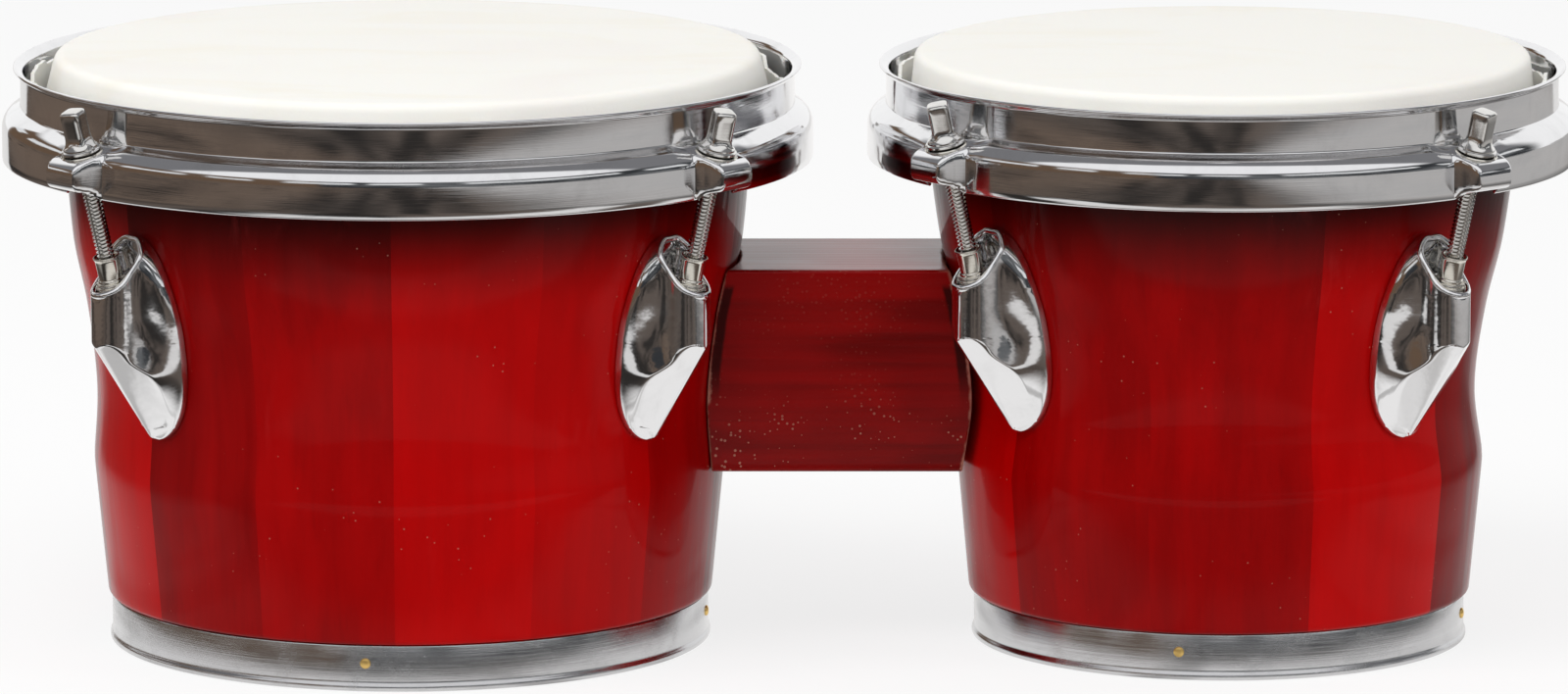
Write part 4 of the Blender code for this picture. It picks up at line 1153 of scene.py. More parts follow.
def cross_screw(name, stem, reach, head, height):
    """Pan-head screw with a cross recess: its head lies below zero and its stem runs up."""
    section = [(0.0, -height)]
    for t in spread(0.0, math.pi / 2, 7)[1:]:
        section.append((head * math.sin(t) ** 0.8, -height * (0.35 + 0.65 * math.cos(t))))
    section += [(head, 0.0), (stem, 0.0), (stem, reach), (0.0, reach)]
    bar = bmesh.new()
    length_width_depth = (head * 1.15, head * 0.16, height * 1.10, 1.0)
    place = Matrix.Translation((0.0, 0.0, -height)) @ Matrix.Diagonal(length_width_depth)
    bmesh.ops.create_cube(bar, size=1.0, matrix=place)
    return cut_out(turned(name, section, 40, closed=False), finished("recess", bar),
                   [Matrix.Identity(4), Matrix.Rotation(math.pi / 2, 4, "Z")])


def inner_seat(drum, height, head):
    """Radius at which a round head meets the shell's inner face."""
    inner = drum.radius(height) - drum.all.shell.wall
    return inner - head * head / (2 * inner) - drum.all.shell.gap


class BONGO_OT_lugs(bpy.types.Operator):
    """Cast the lugs and set the screws and bolts inside the shells"""
    bl_idname = "bongo.lugs"
    bl_label = "Lugs and screws"

    def execute(self, context):
        block = context.scene.bongos.block
        screw, bolt = cross_screw("lug_screw", **LUG_SCREW), cross_screw("block_bolt", **BLOCK_BOLT)
        for drum in drums(context):
            lug = lug_mesh(drum)
            screw_z = drum.all.lug.screw
            for k, azimuth in zip(CORNERS, drum.azimuths()):
                tag = f"{drum.name}_{k}"
                put(f"cast_lug_{tag}", lug, ("cast_chrome",), "root", (f"lug_{tag}",),
                    drum.at(azimuth), sharp=55)
                seat = inner_seat(drum, screw_z, LUG_SCREW["head"])
                put(f"pan_screw_{tag}", screw, ("zinc",), "root", (f"lug_screw_{tag}",),
                    drum.inward_screw(azimuth, seat, screw_z), sharp=30)
            for k, z in enumerate((block.bolt_low, block.bolt_high), 1):
                tag = f"{drum.name}_{k}"
                seat = inner_seat(drum, z, BLOCK_BOLT["head"])
                spot = drum.inward_screw(drum.block_side * math.pi / 2, seat, z)
                put(f"pan_bolt_{tag}", bolt, ("zinc",), "root", (f"block_bolt_{tag}",), spot,
                    sharp=30)
        return {"FINISHED"}


# Block

def block_span(left, right, y, z):
    """Where the block starts and ends along X at a depth and a height."""
    gap = left.all.shell.gap
    reach = left.radius(z) + gap
    end = right.x - right.radius(z) - gap + y * y / (2 * left.all.block.hollow)
    return left.x + math.sqrt(reach * reach - y * y), end


def block_mesh(left, right):
    """Block with coped ends and rubbed arrises. Its points keep how near an arris they are."""
    block = left.all.block
    half_y, half_z = block.half_depth, (block.top - block.bottom) / 2
    middle_z = (block.top + block.bottom) / 2
    soft = block.arris
    outline = []
    for quarter, (sy, sz) in enumerate(((-1, -1), (1, -1), (1, 1), (-1, 1))):
        centre = Vector((sy * (half_y - soft), sz * (half_z - soft)))
        for t in spread(0.0, math.pi / 2, 4):
            a = math.pi + quarter * math.pi / 2 + t
            outline.append(centre + Vector((math.cos(a), math.sin(a))) * soft)
    dense = []
    for i, point in enumerate(outline):
        after = outline[(i + 1) % len(outline)]
        steps = max(1, int((after - point).length / (1.6 * MM)))
        dense += [point.lerp(after, k / steps) for k in range(steps)]
    steps = [step * MM for step in (0.0, 0.15, 0.4, 0.75, 1.2, 1.9, 2.8, 4.0)]
    scales = (0.15, 0.45, 0.75, 0.93)

    def end_row(along, from_start, scale=1.0):
        inset = max(0.0, soft - along)
        shrink = soft - math.sqrt(max(soft * soft - inset * inset, 0.0))
        row = []
        for flat in dense:
            y = flat.x * scale * (1 - shrink / half_y)
            z = flat.y * scale * (1 - shrink / half_z) + middle_z
            start, end = block_span(left, right, y, z)
            row.append(Vector((start + along if from_start else end - along, y, z)))
        return row

    def middle_row(t):
        row = []
        for flat in dense:
            start, end = block_span(left, right, flat.x, flat.y + middle_z)
            x = blend(start + steps[-1], end - steps[-1], t)
            row.append(Vector((x, flat.x, flat.y + middle_z)))
        return row

    rows = [end_row(0.0, True, scale) for scale in scales] + [end_row(step, True) for step in steps]
    rows += [middle_row(t) for t in spread(0.0, 1.0, 28)[1:-1]]
    rows += [end_row(step, False) for step in steps[::-1]]
    rows += [end_row(0.0, False, scale) for scale in scales[::-1]]
    mesh = skin_rows("block", rows, caps=True)
    keep = mesh.attributes.new("arris", "FLOAT", "POINT")
    ends = mesh.attributes.new("from_end", "FLOAT", "POINT")
    for vertex in mesh.vertices:
        x, y, z = vertex.co
        start, end = block_span(left, right, y, z)
        to_end = min(abs(x - start), abs(end - x))
        to_edge = max(half_y - abs(y), half_z - abs(z - middle_z))
        keep.data[vertex.index].value = math.exp(-min(to_end, to_edge * 3.0) / (2.4 * MM))
        ends.data[vertex.index].value = to_end / (10.0 * MM)
    for polygon in mesh.polygons:
        polygon.material_index = 1 if polygon.normal.z > 0.8 else 0
    return mesh


class BONGO_OT_block(bpy.types.Operator):
    """Shape the block between the drums"""
    bl_idname = "bongo.block"
    bl_label = "Block"

    def execute(self, context):
        left, right = drums(context)
        put("coped_block", block_mesh(left, right), ("block_gloss", "block_rubbed"), "root",
            ("center_block",), sharp=60)
        return {"FINISHED"}


# Finishes: shared effects first, then one function for each material

class Nodes:
    """Short calls that fill one node tree."""

    def __init__(self, tree):
        self.tree = tree

    def fill(self, node, values):
        """Set a node's inputs, or join them to other nodes' outputs."""
        for key, value in values.items():
            socket = node.inputs[key]
            if isinstance(value, bpy.types.NodeSocket):
                self.tree.links.new(value, socket)
            elif socket.type == "RGBA" and len(value) == 3:
                socket.default_value = (*value, 1.0)
            else:
                socket.default_value = value

    def add(self, kind, values=None, **options):
        """Add a node with its options and inputs."""
        node = self.tree.nodes.new(kind)
        for key, value in options.items():
            setattr(node, key, value)
        self.fill(node, values or {})
        return node

    def math(self, operation, a, b=0.0, c=0.0, clamped=False):
        """Output of a Math node."""
        values = {0: a, 1: b, 2: c}
        return self.add("ShaderNodeMath", values, operation=operation, use_clamp=clamped).outputs[0]

    def times(self, value, *others):
        """Product of two or more values."""
        for other in others:
            value = self.math("MULTIPLY", value, other)
        return value

    def times_plus(self, a, b, c):
        """The product of two values, and a third on top."""
        return self.math("MULTIPLY_ADD", a, b, c)

    def plus(self, a, b):
        """Sum of two values."""
        return self.math("ADD", a, b)

    def less(self, a, b, clamped=False):
        """A value less another."""
        return self.math("SUBTRACT", a, b, clamped=clamped)

    def most(self, a, b):
        """The larger of two values."""
        return self.math("MAXIMUM", a, b)

    def ramp(self, value, low, high, to_low=0.0, to_high=1.0):
        """A value eased from one range to another."""
        values = {0: value, 1: low, 2: high, 3: to_low, 4: to_high}
        return self.add("ShaderNodeMapRange", values, interpolation_type="SMOOTHSTEP").outputs[0]

    def mix(self, factor, a, b):
        """Output of a colour mix."""
        return self.add("ShaderNodeMix", {0: factor, 6: a, 7: b}, data_type="RGBA").outputs[2]

    def stretched(self, vector, scale):
        """A vector with its parts scaled."""
        return self.add("ShaderNodeVectorMath", {0: vector, 1: scale}, operation="MULTIPLY").outputs[0]

    def parts(self, vector):
        """The three parts of a vector."""
        return self.add("ShaderNodeSeparateXYZ", {0: vector}).outputs

    def combined(self, x, y, z):
        """A vector from its three parts."""
        return self.add("ShaderNodeCombineXYZ", {0: x, 1: y, 2: z}).outputs[0]

    def cloud(self, vector, scale, detail=3.0, rough=0.55, distortion=0.0):
        """Output of a noise texture, about 0.3 to 0.7."""
        values = {"Vector": vector, "Scale": scale, "Detail": detail, "Roughness": rough,
                  "Distortion": distortion}
        return self.add("ShaderNodeTexNoise", values).outputs[0]

    def mark(self, name):
        """A value that the mesh keeps."""
        return self.add("ShaderNodeAttribute", attribute_name=name).outputs["Fac"]

    def bump(self, height, distance):
        """A normal that follows a height."""
        values = {"Strength": 1.0, "Distance": distance, "Height": height}
        return self.add("ShaderNodeBump", values).outputs[0]

    def use(self, group, values):
        """Place a shared effect and return its outputs."""
        return self.add("ShaderNodeGroup", values, node_tree=bpy.data.node_groups[group]).outputs

    def along_x(self, place):
        """Coordinates turned so that the grain runs along X."""
        values = {"Vector": place, "Rotation": (0.0, math.pi / 2, 0.0)}
        return self.add("ShaderNodeMapping", values).outputs[0]

    def emission(self, colour_in):
        """A surface that shows a colour as it is."""
        return self.add("ShaderNodeEmission", {"Color": colour_in, "Strength": 1.0}).outputs[0]

    def seen_by(self):
        """Masks of the camera's rays and of those that metal and glass reflect or pass."""
        paths = self.add("ShaderNodeLightPath").outputs
        return paths["Is Camera Ray"], self.most(paths["Is Glossy Ray"], paths["Is Transmission Ray"])


def shade(tone, factor):
    """A colour made lighter or darker."""
    return tuple(part * factor for part in tone)


def effect(name, inputs, outputs):
    """A new node group: its nodes, what it is given, and its output node."""
    tree = bpy.data.node_groups.new(name, "ShaderNodeTree")
    tree.interface.new_socket("Vector", in_out="INPUT", socket_type="NodeSocketVector")
    for label, default in inputs.items():
        socket = tree.interface.new_socket(label, in_out="INPUT", socket_type="NodeSocketFloat")
        socket.default_value = default
    for label in outputs:
        tree.interface.new_socket(label, in_out="OUTPUT", socket_type="NodeSocketFloat")
    given = tree.nodes.new("NodeGroupInput").outputs
    return Nodes(tree), given, tree.nodes.new("NodeGroupOutput")


def grain_effect():
    """Wood: streaks along the grain, slow clouds of stain and fine pores."""
    nodes, given, out = effect("wood_grain", {"Across": 260.0, "Along": 9.0, "Offset": 0.0},
                               ("Streaks", "Clouds", "Pores"))
    x, y, z = nodes.parts(given["Vector"])
    line = nodes.combined(nodes.times(x, given["Across"]), nodes.times(y, given["Across"]),
                          nodes.times_plus(z, given["Along"], given["Offset"]))
    slow = nodes.stretched(line, (0.16, 0.16, 1.5))
    fine = nodes.stretched(line, (7.0, 7.0, 9.0))
    nodes.fill(out, {
        "Streaks": nodes.ramp(nodes.cloud(line, 1.0, 4.0, 0.62, 0.35), 0.30, 0.72),
        "Clouds": nodes.ramp(nodes.cloud(slow, 1.0, 2.0, 0.5, 0.9), 0.32, 0.68),
        "Pores": nodes.ramp(nodes.cloud(fine, 1.0, 2.0, 0.6), 0.55, 0.78),
    })


def dust_effect():
    """Specks of dust and small nicks, denser in patches."""
    nodes, given, out = effect("dust_specks", {"Scale": 420.0, "Amount": 0.5}, ("Specks", "Smears"))
    place, amount = given["Vector"], given["Amount"]
    cells = nodes.add("ShaderNodeTexVoronoi", {"Vector": place, "Scale": given["Scale"], "Randomness": 1.0},
                      feature="F1").outputs
    chance = nodes.add("ShaderNodeSeparateColor", {0: cells["Color"]}).outputs[0]
    patch = nodes.ramp(nodes.cloud(place, 34.0), 0.34, 0.62)
    speck = nodes.math("LESS_THAN", cells["Distance"], nodes.times(patch, nodes.times(amount, 0.24)))
    smear = nodes.cloud(nodes.stretched(place, (60.0, 60.0, 14.0)), 1.0, 5.0, 0.7, 0.6)
    nodes.fill(out, {
        "Specks": nodes.times(speck, nodes.math("GREATER_THAN", chance, 0.45)),
        "Smears": nodes.times(nodes.ramp(smear, 0.58, 0.80), amount),
    })


def hairline_effect():
    """Fine hairlines and a faint unevenness, as on polished plate."""
    nodes, given, out = effect("hairlines", {"Along": 30.0, "Across": 5200.0, "Wave": 90.0},
                               ("Lines", "Haze", "Swell"))
    place = given["Vector"]
    x, y, z = nodes.parts(place)
    line = nodes.combined(nodes.times(x, given["Along"]), nodes.times(y, given["Along"]),
                          nodes.times(z, given["Across"]))
    nodes.fill(out, {
        "Lines": nodes.ramp(nodes.cloud(line, 1.0, 2.0, 0.7), 0.35, 0.75),
        "Haze": nodes.ramp(nodes.cloud(place, 75.0, 4.0, 0.65, 0.4), 0.45, 0.75),
        "Swell": nodes.cloud(place, given["Wave"], 2.0, 0.5),
    })


def wear_effect():
    """Rubbed arrises: a band along the edge, broken up by the grain."""
    nodes, given, out = effect("edge_wear", {"Edge": 0.0, "Amount": 0.5}, ("Worn",))
    rough = nodes.cloud(given["Vector"], 300.0, 5.0, 0.72)
    patches = nodes.cloud(given["Vector"], 60.0, 3.0, 0.6)
    broken = nodes.plus(nodes.times(rough, 0.55), nodes.times(patches, 0.85))
    base = nodes.times_plus(given["Amount"], 0.5, given["Edge"])
    nodes.fill(out, {"Worn": nodes.ramp(nodes.less(base, broken), 0.15, 0.45)})


def new_material(name):
    """A material's nodes, its Principled shader and object coordinates."""
    made = bpy.data.materials.new(FINISH_NAME.format(name))
    made.use_nodes = True
    nodes = Nodes(made.node_tree)
    return nodes, made.node_tree.nodes["Principled BSDF"], nodes.add("ShaderNodeTexCoord").outputs["Object"]


def stave_grain(nodes, place, across, along):
    """Each stave's own tone, and its grain."""
    tone = nodes.mark("stave_tone")
    grain = nodes.use("wood_grain", {"Vector": place, "Across": across, "Along": along,
                                     "Offset": nodes.times(tone, 40.0)})
    return tone, grain


def block_marks(nodes, place, across, along, dust_scale, dust, wear):
    """The block's grain along X, its dust, and how worn it is toward its arrises."""
    grain = nodes.use("wood_grain", {"Vector": nodes.along_x(place), "Across": across, "Along": along})
    specks = nodes.use("dust_specks", {"Vector": place, "Scale": dust_scale, "Amount": dust})
    edges = nodes.use("edge_wear", {"Vector": place, "Edge": nodes.mark("arris"), "Amount": wear})
    return grain, specks, edges["Worn"]


def stained_staves(colours):
    """Clear red stain on staves under a deep gloss lacquer, and painted shade, near black, under the rims.
    """
    nodes, shader, place = new_material("stained_staves")
    tone, grain = stave_grain(nodes, place, 150.0, 8.0)
    dust = nodes.use("dust_specks", {"Vector": place, "Scale": 330.0, "Amount": 0.35})
    light = nodes.plus(nodes.times(tone, 0.80), nodes.times(grain["Clouds"], 0.18))
    light = nodes.plus(light, nodes.times_plus(grain["Streaks"], 0.14, -0.09))
    light = nodes.less(light, nodes.times(grain["Pores"], 0.06), clamped=True)
    body = nodes.mix(light, colours.stain_deep, colours.stain_bright)
    # Painted shade: the staves fade to near-black red close under the rims, standing in for the shade that
    # the rims cast.
    painted_rim_shade = nodes.ramp(nodes.parts(place)[2], 0.104, 0.134)
    body = nodes.mix(painted_rim_shade, body, colours.stain_dark)
    body = nodes.mix(nodes.times(dust["Specks"], 0.35), body, colours.worn_wood)
    body = nodes.mix(nodes.times(dust["Smears"], 0.35), body, (0.46, 0.04, 0.04))
    swell = nodes.plus(nodes.times(grain["Streaks"], 0.35), grain["Clouds"])
    nodes.fill(shader, {
        "Base Color": body,
        "Roughness": nodes.ramp(grain["Streaks"], 0.0, 1.0, 0.34, 0.46),
        "Coat Weight": 0.55, "Coat IOR": 1.17, "Coat Roughness": 0.05,
        "Specular IOR Level": 0.04,
        "Normal": nodes.bump(swell, 0.00004),
    })


def raw_staves(colours):
    """Bare wood inside the shells and at their feet, with the staves' own tones."""
    nodes, shader, place = new_material("raw_staves")
    tone, grain = stave_grain(nodes, place, 420.0, 14.0)
    base, dark = colours.raw_wood, shade(colours.raw_wood, 0.55)
    body = nodes.mix(nodes.times(grain["Streaks"], 0.55), base, dark)
    body = nodes.mix(nodes.times(tone, 0.35), body, shade(base, 1.25))
    nodes.fill(shader, {
        "Base Color": nodes.mix(grain["Pores"], body, dark),
        "Roughness": nodes.ramp(grain["Clouds"], 0.0, 1.0, 0.62, 0.78),
        "Normal": nodes.bump(grain["Streaks"], 0.00015),
    })


def block_gloss(colours):
    """Maroon stain under gloss, with rubbed arrises, dark bands at both ends and dust low down."""
    nodes, shader, place = new_material("block_gloss")
    low, high = (corner.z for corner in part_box("center_block"))
    grain, dust, worn = block_marks(nodes, place, 210.0, 9.0, 760.0, 1.2, 0.38)
    light = nodes.plus(nodes.times(grain["Clouds"], 0.55), nodes.times(grain["Streaks"], 0.35))
    body = nodes.mix(light, colours.block_deep, colours.block_front)
    height = nodes.parts(place)[2]
    stripe = nodes.ramp(height, high - 0.0090, high - 0.0070)
    body = nodes.mix(nodes.times(stripe, 0.7), body, colours.block_front)
    wander = nodes.times_plus(nodes.cloud(place, 90.0), 0.10, nodes.mark("from_end"))
    band = nodes.times(nodes.ramp(wander, 0.10, 0.16), nodes.ramp(wander, 0.34, 0.44, 1.0, 0.0),
                       nodes.ramp(height, low + 0.016, low + 0.030),
                       nodes.ramp(height, high - 0.0055, high - 0.0035, 1.0, 0.0))
    body = nodes.mix(nodes.times(band, 0.85), body, colours.stain_dark)
    settled = nodes.ramp(height, low + 0.004, low + 0.026, 1.0, 0.08)
    body = nodes.mix(nodes.times(dust["Specks"], settled, 0.60), body, colours.worn_wood)
    rough = nodes.ramp(grain["Clouds"], 0.0, 1.0, 0.28, 0.40)
    nodes.fill(shader, {
        "Base Color": nodes.mix(worn, body, colours.worn_wood),
        "Roughness": nodes.plus(rough, nodes.times(worn, 0.3)),
        "Coat Weight": nodes.less(0.55, nodes.times(worn, 0.55)),
        "Coat IOR": 1.25, "Coat Roughness": 0.12, "Specular IOR Level": 0.06,
        "Normal": nodes.bump(nodes.less(grain["Streaks"], worn), 0.00008),
    })


def block_rubbed(colours):
    """The block's top face: rubbed matt, brown under grey dust, with the grain showing."""
    nodes, shader, place = new_material("block_rubbed")
    grain, dust, worn = block_marks(nodes, place, 330.0, 12.0, 500.0, 0.8, 0.25)
    base = colours.block_top
    body = nodes.mix(grain["Streaks"], shade(base, 1.25), shade(base, 0.62))
    body = nodes.mix(nodes.times(grain["Clouds"], 0.45), body, (0.165, 0.105, 0.090))
    body = nodes.mix(nodes.times(dust["Smears"], 0.5), body, (0.30, 0.22, 0.20))
    nodes.fill(shader, {
        "Base Color": nodes.mix(worn, body, colours.worn_wood),
        "Roughness": nodes.ramp(grain["Clouds"], 0.0, 1.0, 0.42, 0.62),
        "Specular IOR Level": 0.12,
        "Normal": nodes.bump(grain["Streaks"], 0.00010),
    })


def rawhide(colours):
    """Cream rawhide, faintly clouded, with warmer edges and a fine pore."""
    nodes, shader, place = new_material("rawhide")
    slow = nodes.cloud(nodes.stretched(place, (9.0, 26.0, 20.0)), 1.0, 4.0, 0.55, 1.2)
    wide = nodes.cloud(place, 11.0, 2.0, 0.5, 0.6)
    fine = nodes.cloud(place, 900.0, 3.0, 0.6)
    side = nodes.ramp(nodes.parts(place)[2], 0.1500, 0.1620, 1.0, 0.0)
    pale = colours.hide
    older = tuple(part * kept for part, kept in zip(pale, (0.985, 0.97, 0.935)))
    body = nodes.mix(nodes.ramp(slow, 0.48, 0.70), pale, older)
    body = nodes.mix(nodes.ramp(wide, 0.50, 0.72, 0.0, 0.6), body, (0.84, 0.80, 0.765))
    nodes.fill(shader, {
        "Base Color": nodes.mix(nodes.times(side, 0.55), body, colours.hide_warm),
        "Roughness": nodes.ramp(fine, 0.3, 0.7, 0.48, 0.62),
        "Specular IOR Level": 0.35,
        "Subsurface Weight": 0.08, "Subsurface Radius": (0.006, 0.004, 0.002),
        "Normal": nodes.bump(nodes.times_plus(slow, 3.0, fine), 0.00005),
    })


def plate(name, base, rough, haze, lines, wave, swell):
    """Plated metal: hairlines, patches of haze and a faint swell in the reflections."""
    nodes, shader, place = new_material(name)
    marks = nodes.use("hairlines", {"Vector": place, "Wave": wave})
    duller = nodes.plus(nodes.times(marks["Haze"], haze), nodes.times(marks["Lines"], haze * 0.8))
    relief = nodes.times_plus(marks["Lines"], lines, nodes.times(marks["Swell"], swell))
    nodes.fill(shader, {
        "Metallic": 1.0,
        "Roughness": nodes.plus(duller, rough),
        "Base Color": nodes.mix(nodes.times(marks["Haze"], 0.5), base, shade(base, 0.86)),
        "Normal": nodes.bump(relief, 0.00002),
    })


def metals(colours):
    """The plated and bare metals."""
    plate("rim_chrome", colours.chrome, 0.035, 0.06, 0.12, 26.0, 6.0)
    plate("cast_chrome", colours.chrome, 0.05, 0.06, 0.0, 300.0, 1.6)
    plate("rod_chrome", colours.rod, 0.10, 0.08, 0.1, 200.0, 1.0)
    plate("nickel", colours.nickel, 0.10, 0.08, 0.1, 200.0, 1.0)
    plate("satin_band", colours.band, 0.16, 0.10, 0.30, 60.0, 3.0)
    plate("brass", colours.brass, 0.28, 0.12, 0.0, 400.0, 1.0)
    plate("zinc", colours.zinc, 0.34, 0.14, 0.1, 300.0, 1.0)
    plate("hoop_wire", shade(colours.zinc, 0.8), 0.40, 0.12, 0.1, 300.0, 1.0)


class BONGO_OT_finishes(bpy.types.Operator):
    """Make the materials and the effects that they share"""
    bl_idname = "bongo.finishes"
    bl_label = "Finishes"

    def execute(self, context):
        colours = context.scene.bongos.colours
        for make in (grain_effect, dust_effect, hairline_effect, wear_effect):
            make()
        for make in (stained_staves, raw_staves, block_gloss, block_rubbed, rawhide, metals):
            make(colours)
        return {"FINISHED"}


# Stage: floor, world, lights and camera

WHITE = (1.0, 1.0, 1.0)
FLOOR_HALF = 9.0


def straight_behind(nodes, across, back, start):
    """Mask of what lies within 26 degrees of straight behind the drums."""
    beside = nodes.less(nodes.math("ABSOLUTE", across), nodes.times(back, 0.49))
    return nodes.ramp(beside, start - 0.02, start + 0.02, 1.0, 0.0)


def floor_material(colours):
    """Pale floor: white to the camera and in reflections behind the drums, dark in front, with painted
    shadow of the drums just in front of them.
    """
    made = bpy.data.materials.new("stage_floor")
    made.use_nodes = True
    nodes = Nodes(made.node_tree)
    shader = made.node_tree.nodes["Principled BSDF"]
    nodes.fill(shader, {"Base Color": colours.floor, "Roughness": 0.9, "Specular IOR Level": 0.0})
    place = nodes.add("ShaderNodeNewGeometry").outputs["Position"]
    across, depth, _ = nodes.parts(place)
    camera, mirrored = nodes.seen_by()

    shapes = nodes.cloud(nodes.stretched(place, (5.0, 1.2, 1.0)), 1.0, 1.5, 0.4)
    room = nodes.mix(nodes.ramp(shapes, 0.42, 0.60), (0.030, 0.027, 0.025), (0.120, 0.098, 0.085))
    warm = nodes.times(nodes.ramp(across, -0.95, -0.40, 1.0, 0.0), nodes.ramp(shapes, 0.36, 0.48))
    room = nodes.mix(warm, room, (0.155, 0.115, 0.090))
    room = nodes.mix(nodes.ramp(across, 0.22, 0.80, 0.0, 0.55), room, (0.80, 0.79, 0.78))
    beyond = nodes.times(straight_behind(nodes, across, depth, 0.20), nodes.ramp(depth, 0.10, 0.16))
    room = nodes.mix(beyond, room, (0.80, 0.79, 0.78))

    # Painted shadow: in reflections the floor is pale only under and behind the drums and in one strip
    # further forward. Right in front of the drums it stays dark, standing in for their own shadow.
    bars = nodes.cloud(nodes.stretched(place, (24.0, 1.5, 1.0)), 1.0, 2.0)
    near = nodes.times(nodes.ramp(depth, -0.150, -0.105), nodes.ramp(bars, 0.36, 0.50, 0.55, 1.0))
    strip = nodes.times(nodes.ramp(depth, -0.40, -0.36), nodes.ramp(depth, -0.26, -0.22, 0.8, 0.0))
    near = nodes.most(nodes.most(near, strip), nodes.ramp(depth, -0.04, 0.10))
    beside_drums = nodes.ramp(nodes.math("ABSOLUTE", across), 0.28, 0.40, 1.0, 0.0)
    paper = nodes.mix(nodes.times(near, beside_drums), room, (0.95, 0.94, 0.93))

    white, sheen = nodes.emission(WHITE), nodes.emission(paper)
    lit = nodes.add("ShaderNodeMixShader", {0: 0.78, 1: shader.outputs[0], 2: white}).outputs[0]
    seen = nodes.add("ShaderNodeMixShader", {0: camera, 1: shader.outputs[0], 2: lit}).outputs[0]
    whole = nodes.add("ShaderNodeMixShader", {0: mirrored, 1: seen, 2: sheen}).outputs[0]
    nodes.fill(made.node_tree.nodes["Material Output"], {0: whole})
    return made


def studio_world(strength):
    """White behind the drums, and a dark room with a pale ceiling in what the metal reflects."""
    world = bpy.data.worlds.new("studio")
    world.use_nodes = True
    world.node_tree.nodes.clear()
    nodes = Nodes(world.node_tree)
    way = nodes.add("ShaderNodeTexCoord").outputs["Generated"]
    across, back, up = nodes.parts(way)
    camera, mirrored = nodes.seen_by()

    patches = nodes.cloud(nodes.stretched(way, (2.6, 2.6, 7.0)), 1.0, 2.0)
    room = nodes.mix(nodes.ramp(patches, 0.46, 0.60), (0.035, 0.038, 0.042), (0.13, 0.135, 0.14))
    wall = nodes.times(nodes.ramp(across, -0.42, -0.36, 1.0, 0.0), nodes.ramp(up, 0.42, 0.50, 1.0, 0.0))
    room = nodes.mix(wall, room, (0.135, 0.088, 0.058))
    gaps = nodes.cloud(nodes.stretched(way, (3.4, 3.4, 0.1)), 1.0, 1.0)
    strip = nodes.times(nodes.ramp(up, 0.17, 0.20), nodes.ramp(up, 0.28, 0.31, 1.0, 0.0),
                        nodes.ramp(gaps, 0.44, 0.50))
    room = nodes.mix(strip, room, (0.80, 0.81, 0.82))
    over = nodes.ramp(up, 0.36, 0.44)
    room = nodes.mix(over, room, (0.20, 0.20, 0.21))
    box_over = nodes.times(over, nodes.ramp(back, -0.34, -0.24, 1.0, 0.0))
    room = nodes.mix(box_over, room, (0.95, 0.95, 0.96))
    high_or_right = nodes.most(over, nodes.ramp(across, 0.0, 0.05))
    wide = nodes.times(nodes.ramp(back, 0.42, 0.60), high_or_right)
    narrow = nodes.times(straight_behind(nodes, across, back, 0.0), nodes.ramp(back, 0.02, 0.06))
    room = nodes.mix(nodes.most(wide, narrow), room, WHITE)

    seen = nodes.mix(mirrored, shade(WHITE, strength), room)
    seen = nodes.mix(camera, seen, WHITE)
    light = nodes.add("ShaderNodeBackground", {"Color": seen, "Strength": 1.0})
    nodes.add("ShaderNodeOutputWorld", {0: light.outputs[0]})
    return world


def area_light(name, place, size, power):
    """A soft rectangular lamp that faces the middle of the drums."""
    lamp = bpy.data.lights.new(name, "AREA")
    lamp.shape = "RECTANGLE"
    lamp.size, lamp.size_y = size
    lamp.energy = power
    holder = placed(name, lamp)
    holder.visible_glossy = False
    holder.location = place
    way = Vector((0.0, 0.0, 0.08)) - Vector(place)
    holder.rotation_euler = way.to_track_quat("-Z", "Y").to_euler()


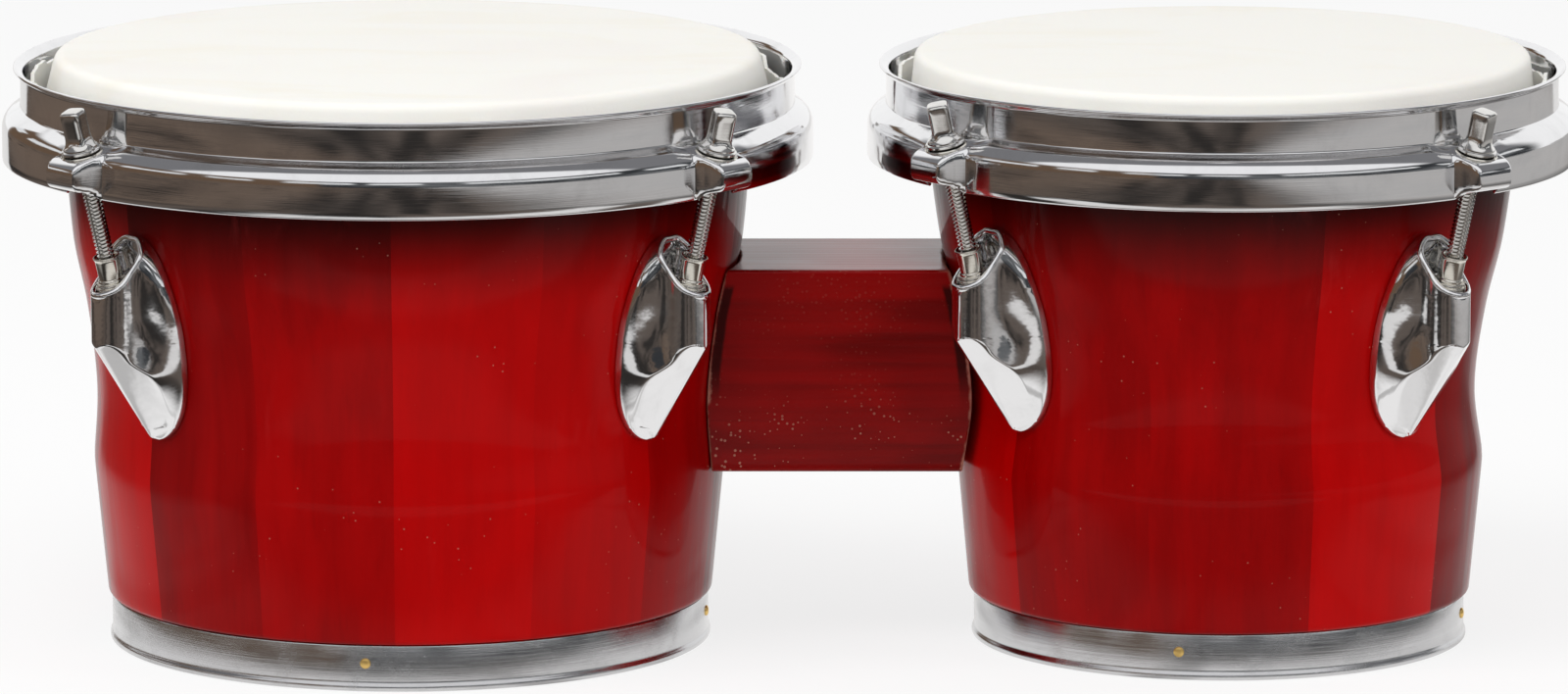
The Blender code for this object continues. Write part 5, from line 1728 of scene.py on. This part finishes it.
class BONGO_OT_stage(bpy.types.Operator):
    """Set up the floor, the world, the lights and the camera"""
    bl_idname = "bongo.stage"
    bl_label = "Stage"

    def execute(self, context):
        scene, stage = context.scene, context.scene.bongos.stage
        shape = bmesh.new()
        bmesh.ops.create_grid(shape, x_segments=1, y_segments=1, size=FLOOR_HALF)
        mesh = finished("stage_floor", shape)
        mesh.materials.append(floor_material(scene.bongos.colours))
        placed("stage_floor", mesh)
        scene.world = studio_world(stage.room)
        area_light("key", (-0.5, -1.1, 1.9), (1.5, 1.0), stage.key)
        area_light("left_side", (-2.0, -0.7, 0.9), (0.7, 1.4), stage.fill)
        area_light("right_side", (2.0, -0.9, 0.8), (0.7, 1.4), stage.fill)
        camera = bpy.data.cameras.new("camera")
        camera.sensor_width = 36.0
        camera.lens = stage.focal
        camera.clip_end = 60.0
        scene.camera = placed("camera", camera)
        scene.camera.location = (-0.0015, -stage.distance, stage.height)
        scene.camera.rotation_euler = (math.pi / 2 - stage.pitch, 0.0, 0.0)
        scene.view_settings.view_transform = "Standard"
        return {"FINISHED"}


# Panel, registration and the run itself

STEPS = (BONGO_OT_stage, BONGO_OT_finishes, BONGO_OT_shells, BONGO_OT_heads, BONGO_OT_rims,
         BONGO_OT_rods, BONGO_OT_lugs, BONGO_OT_block)


class BONGO_PT_panel(bpy.types.Panel):
    """Lists the bongos' steps in the 3D view's sidebar"""
    bl_idname = "BONGO_PT_panel"
    bl_label = "Bongos"
    bl_space_type = "VIEW_3D"
    bl_region_type = "UI"
    bl_category = "Bongos"

    def draw(self, context):
        for step in STEPS:
            self.layout.operator(step.bl_idname)


CLASSES = (BongoLargeDrum, BongoSmallDrum, BongoShell, BongoRim, BongoRod, BongoLug, BongoBlock,
           BongoColours, BongoStage, BongoSettings, *STEPS, BONGO_PT_panel)


def register():
    """Register the classes and hang the settings on the scene."""
    for each in CLASSES:
        bpy.utils.register_class(each)
    bpy.types.Scene.bongos = PointerProperty(type=BongoSettings)


def unregister():
    """Undo what register does."""
    del bpy.types.Scene.bongos
    for each in reversed(CLASSES):
        bpy.utils.unregister_class(each)


def main():
    """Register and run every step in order."""
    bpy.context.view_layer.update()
    register()
    for step in STEPS:
        group, name = step.bl_idname.split(".")
        getattr(getattr(bpy.ops, group), name)()
    bpy.context.view_layer.update()


if __name__ == "__main__":
    main()
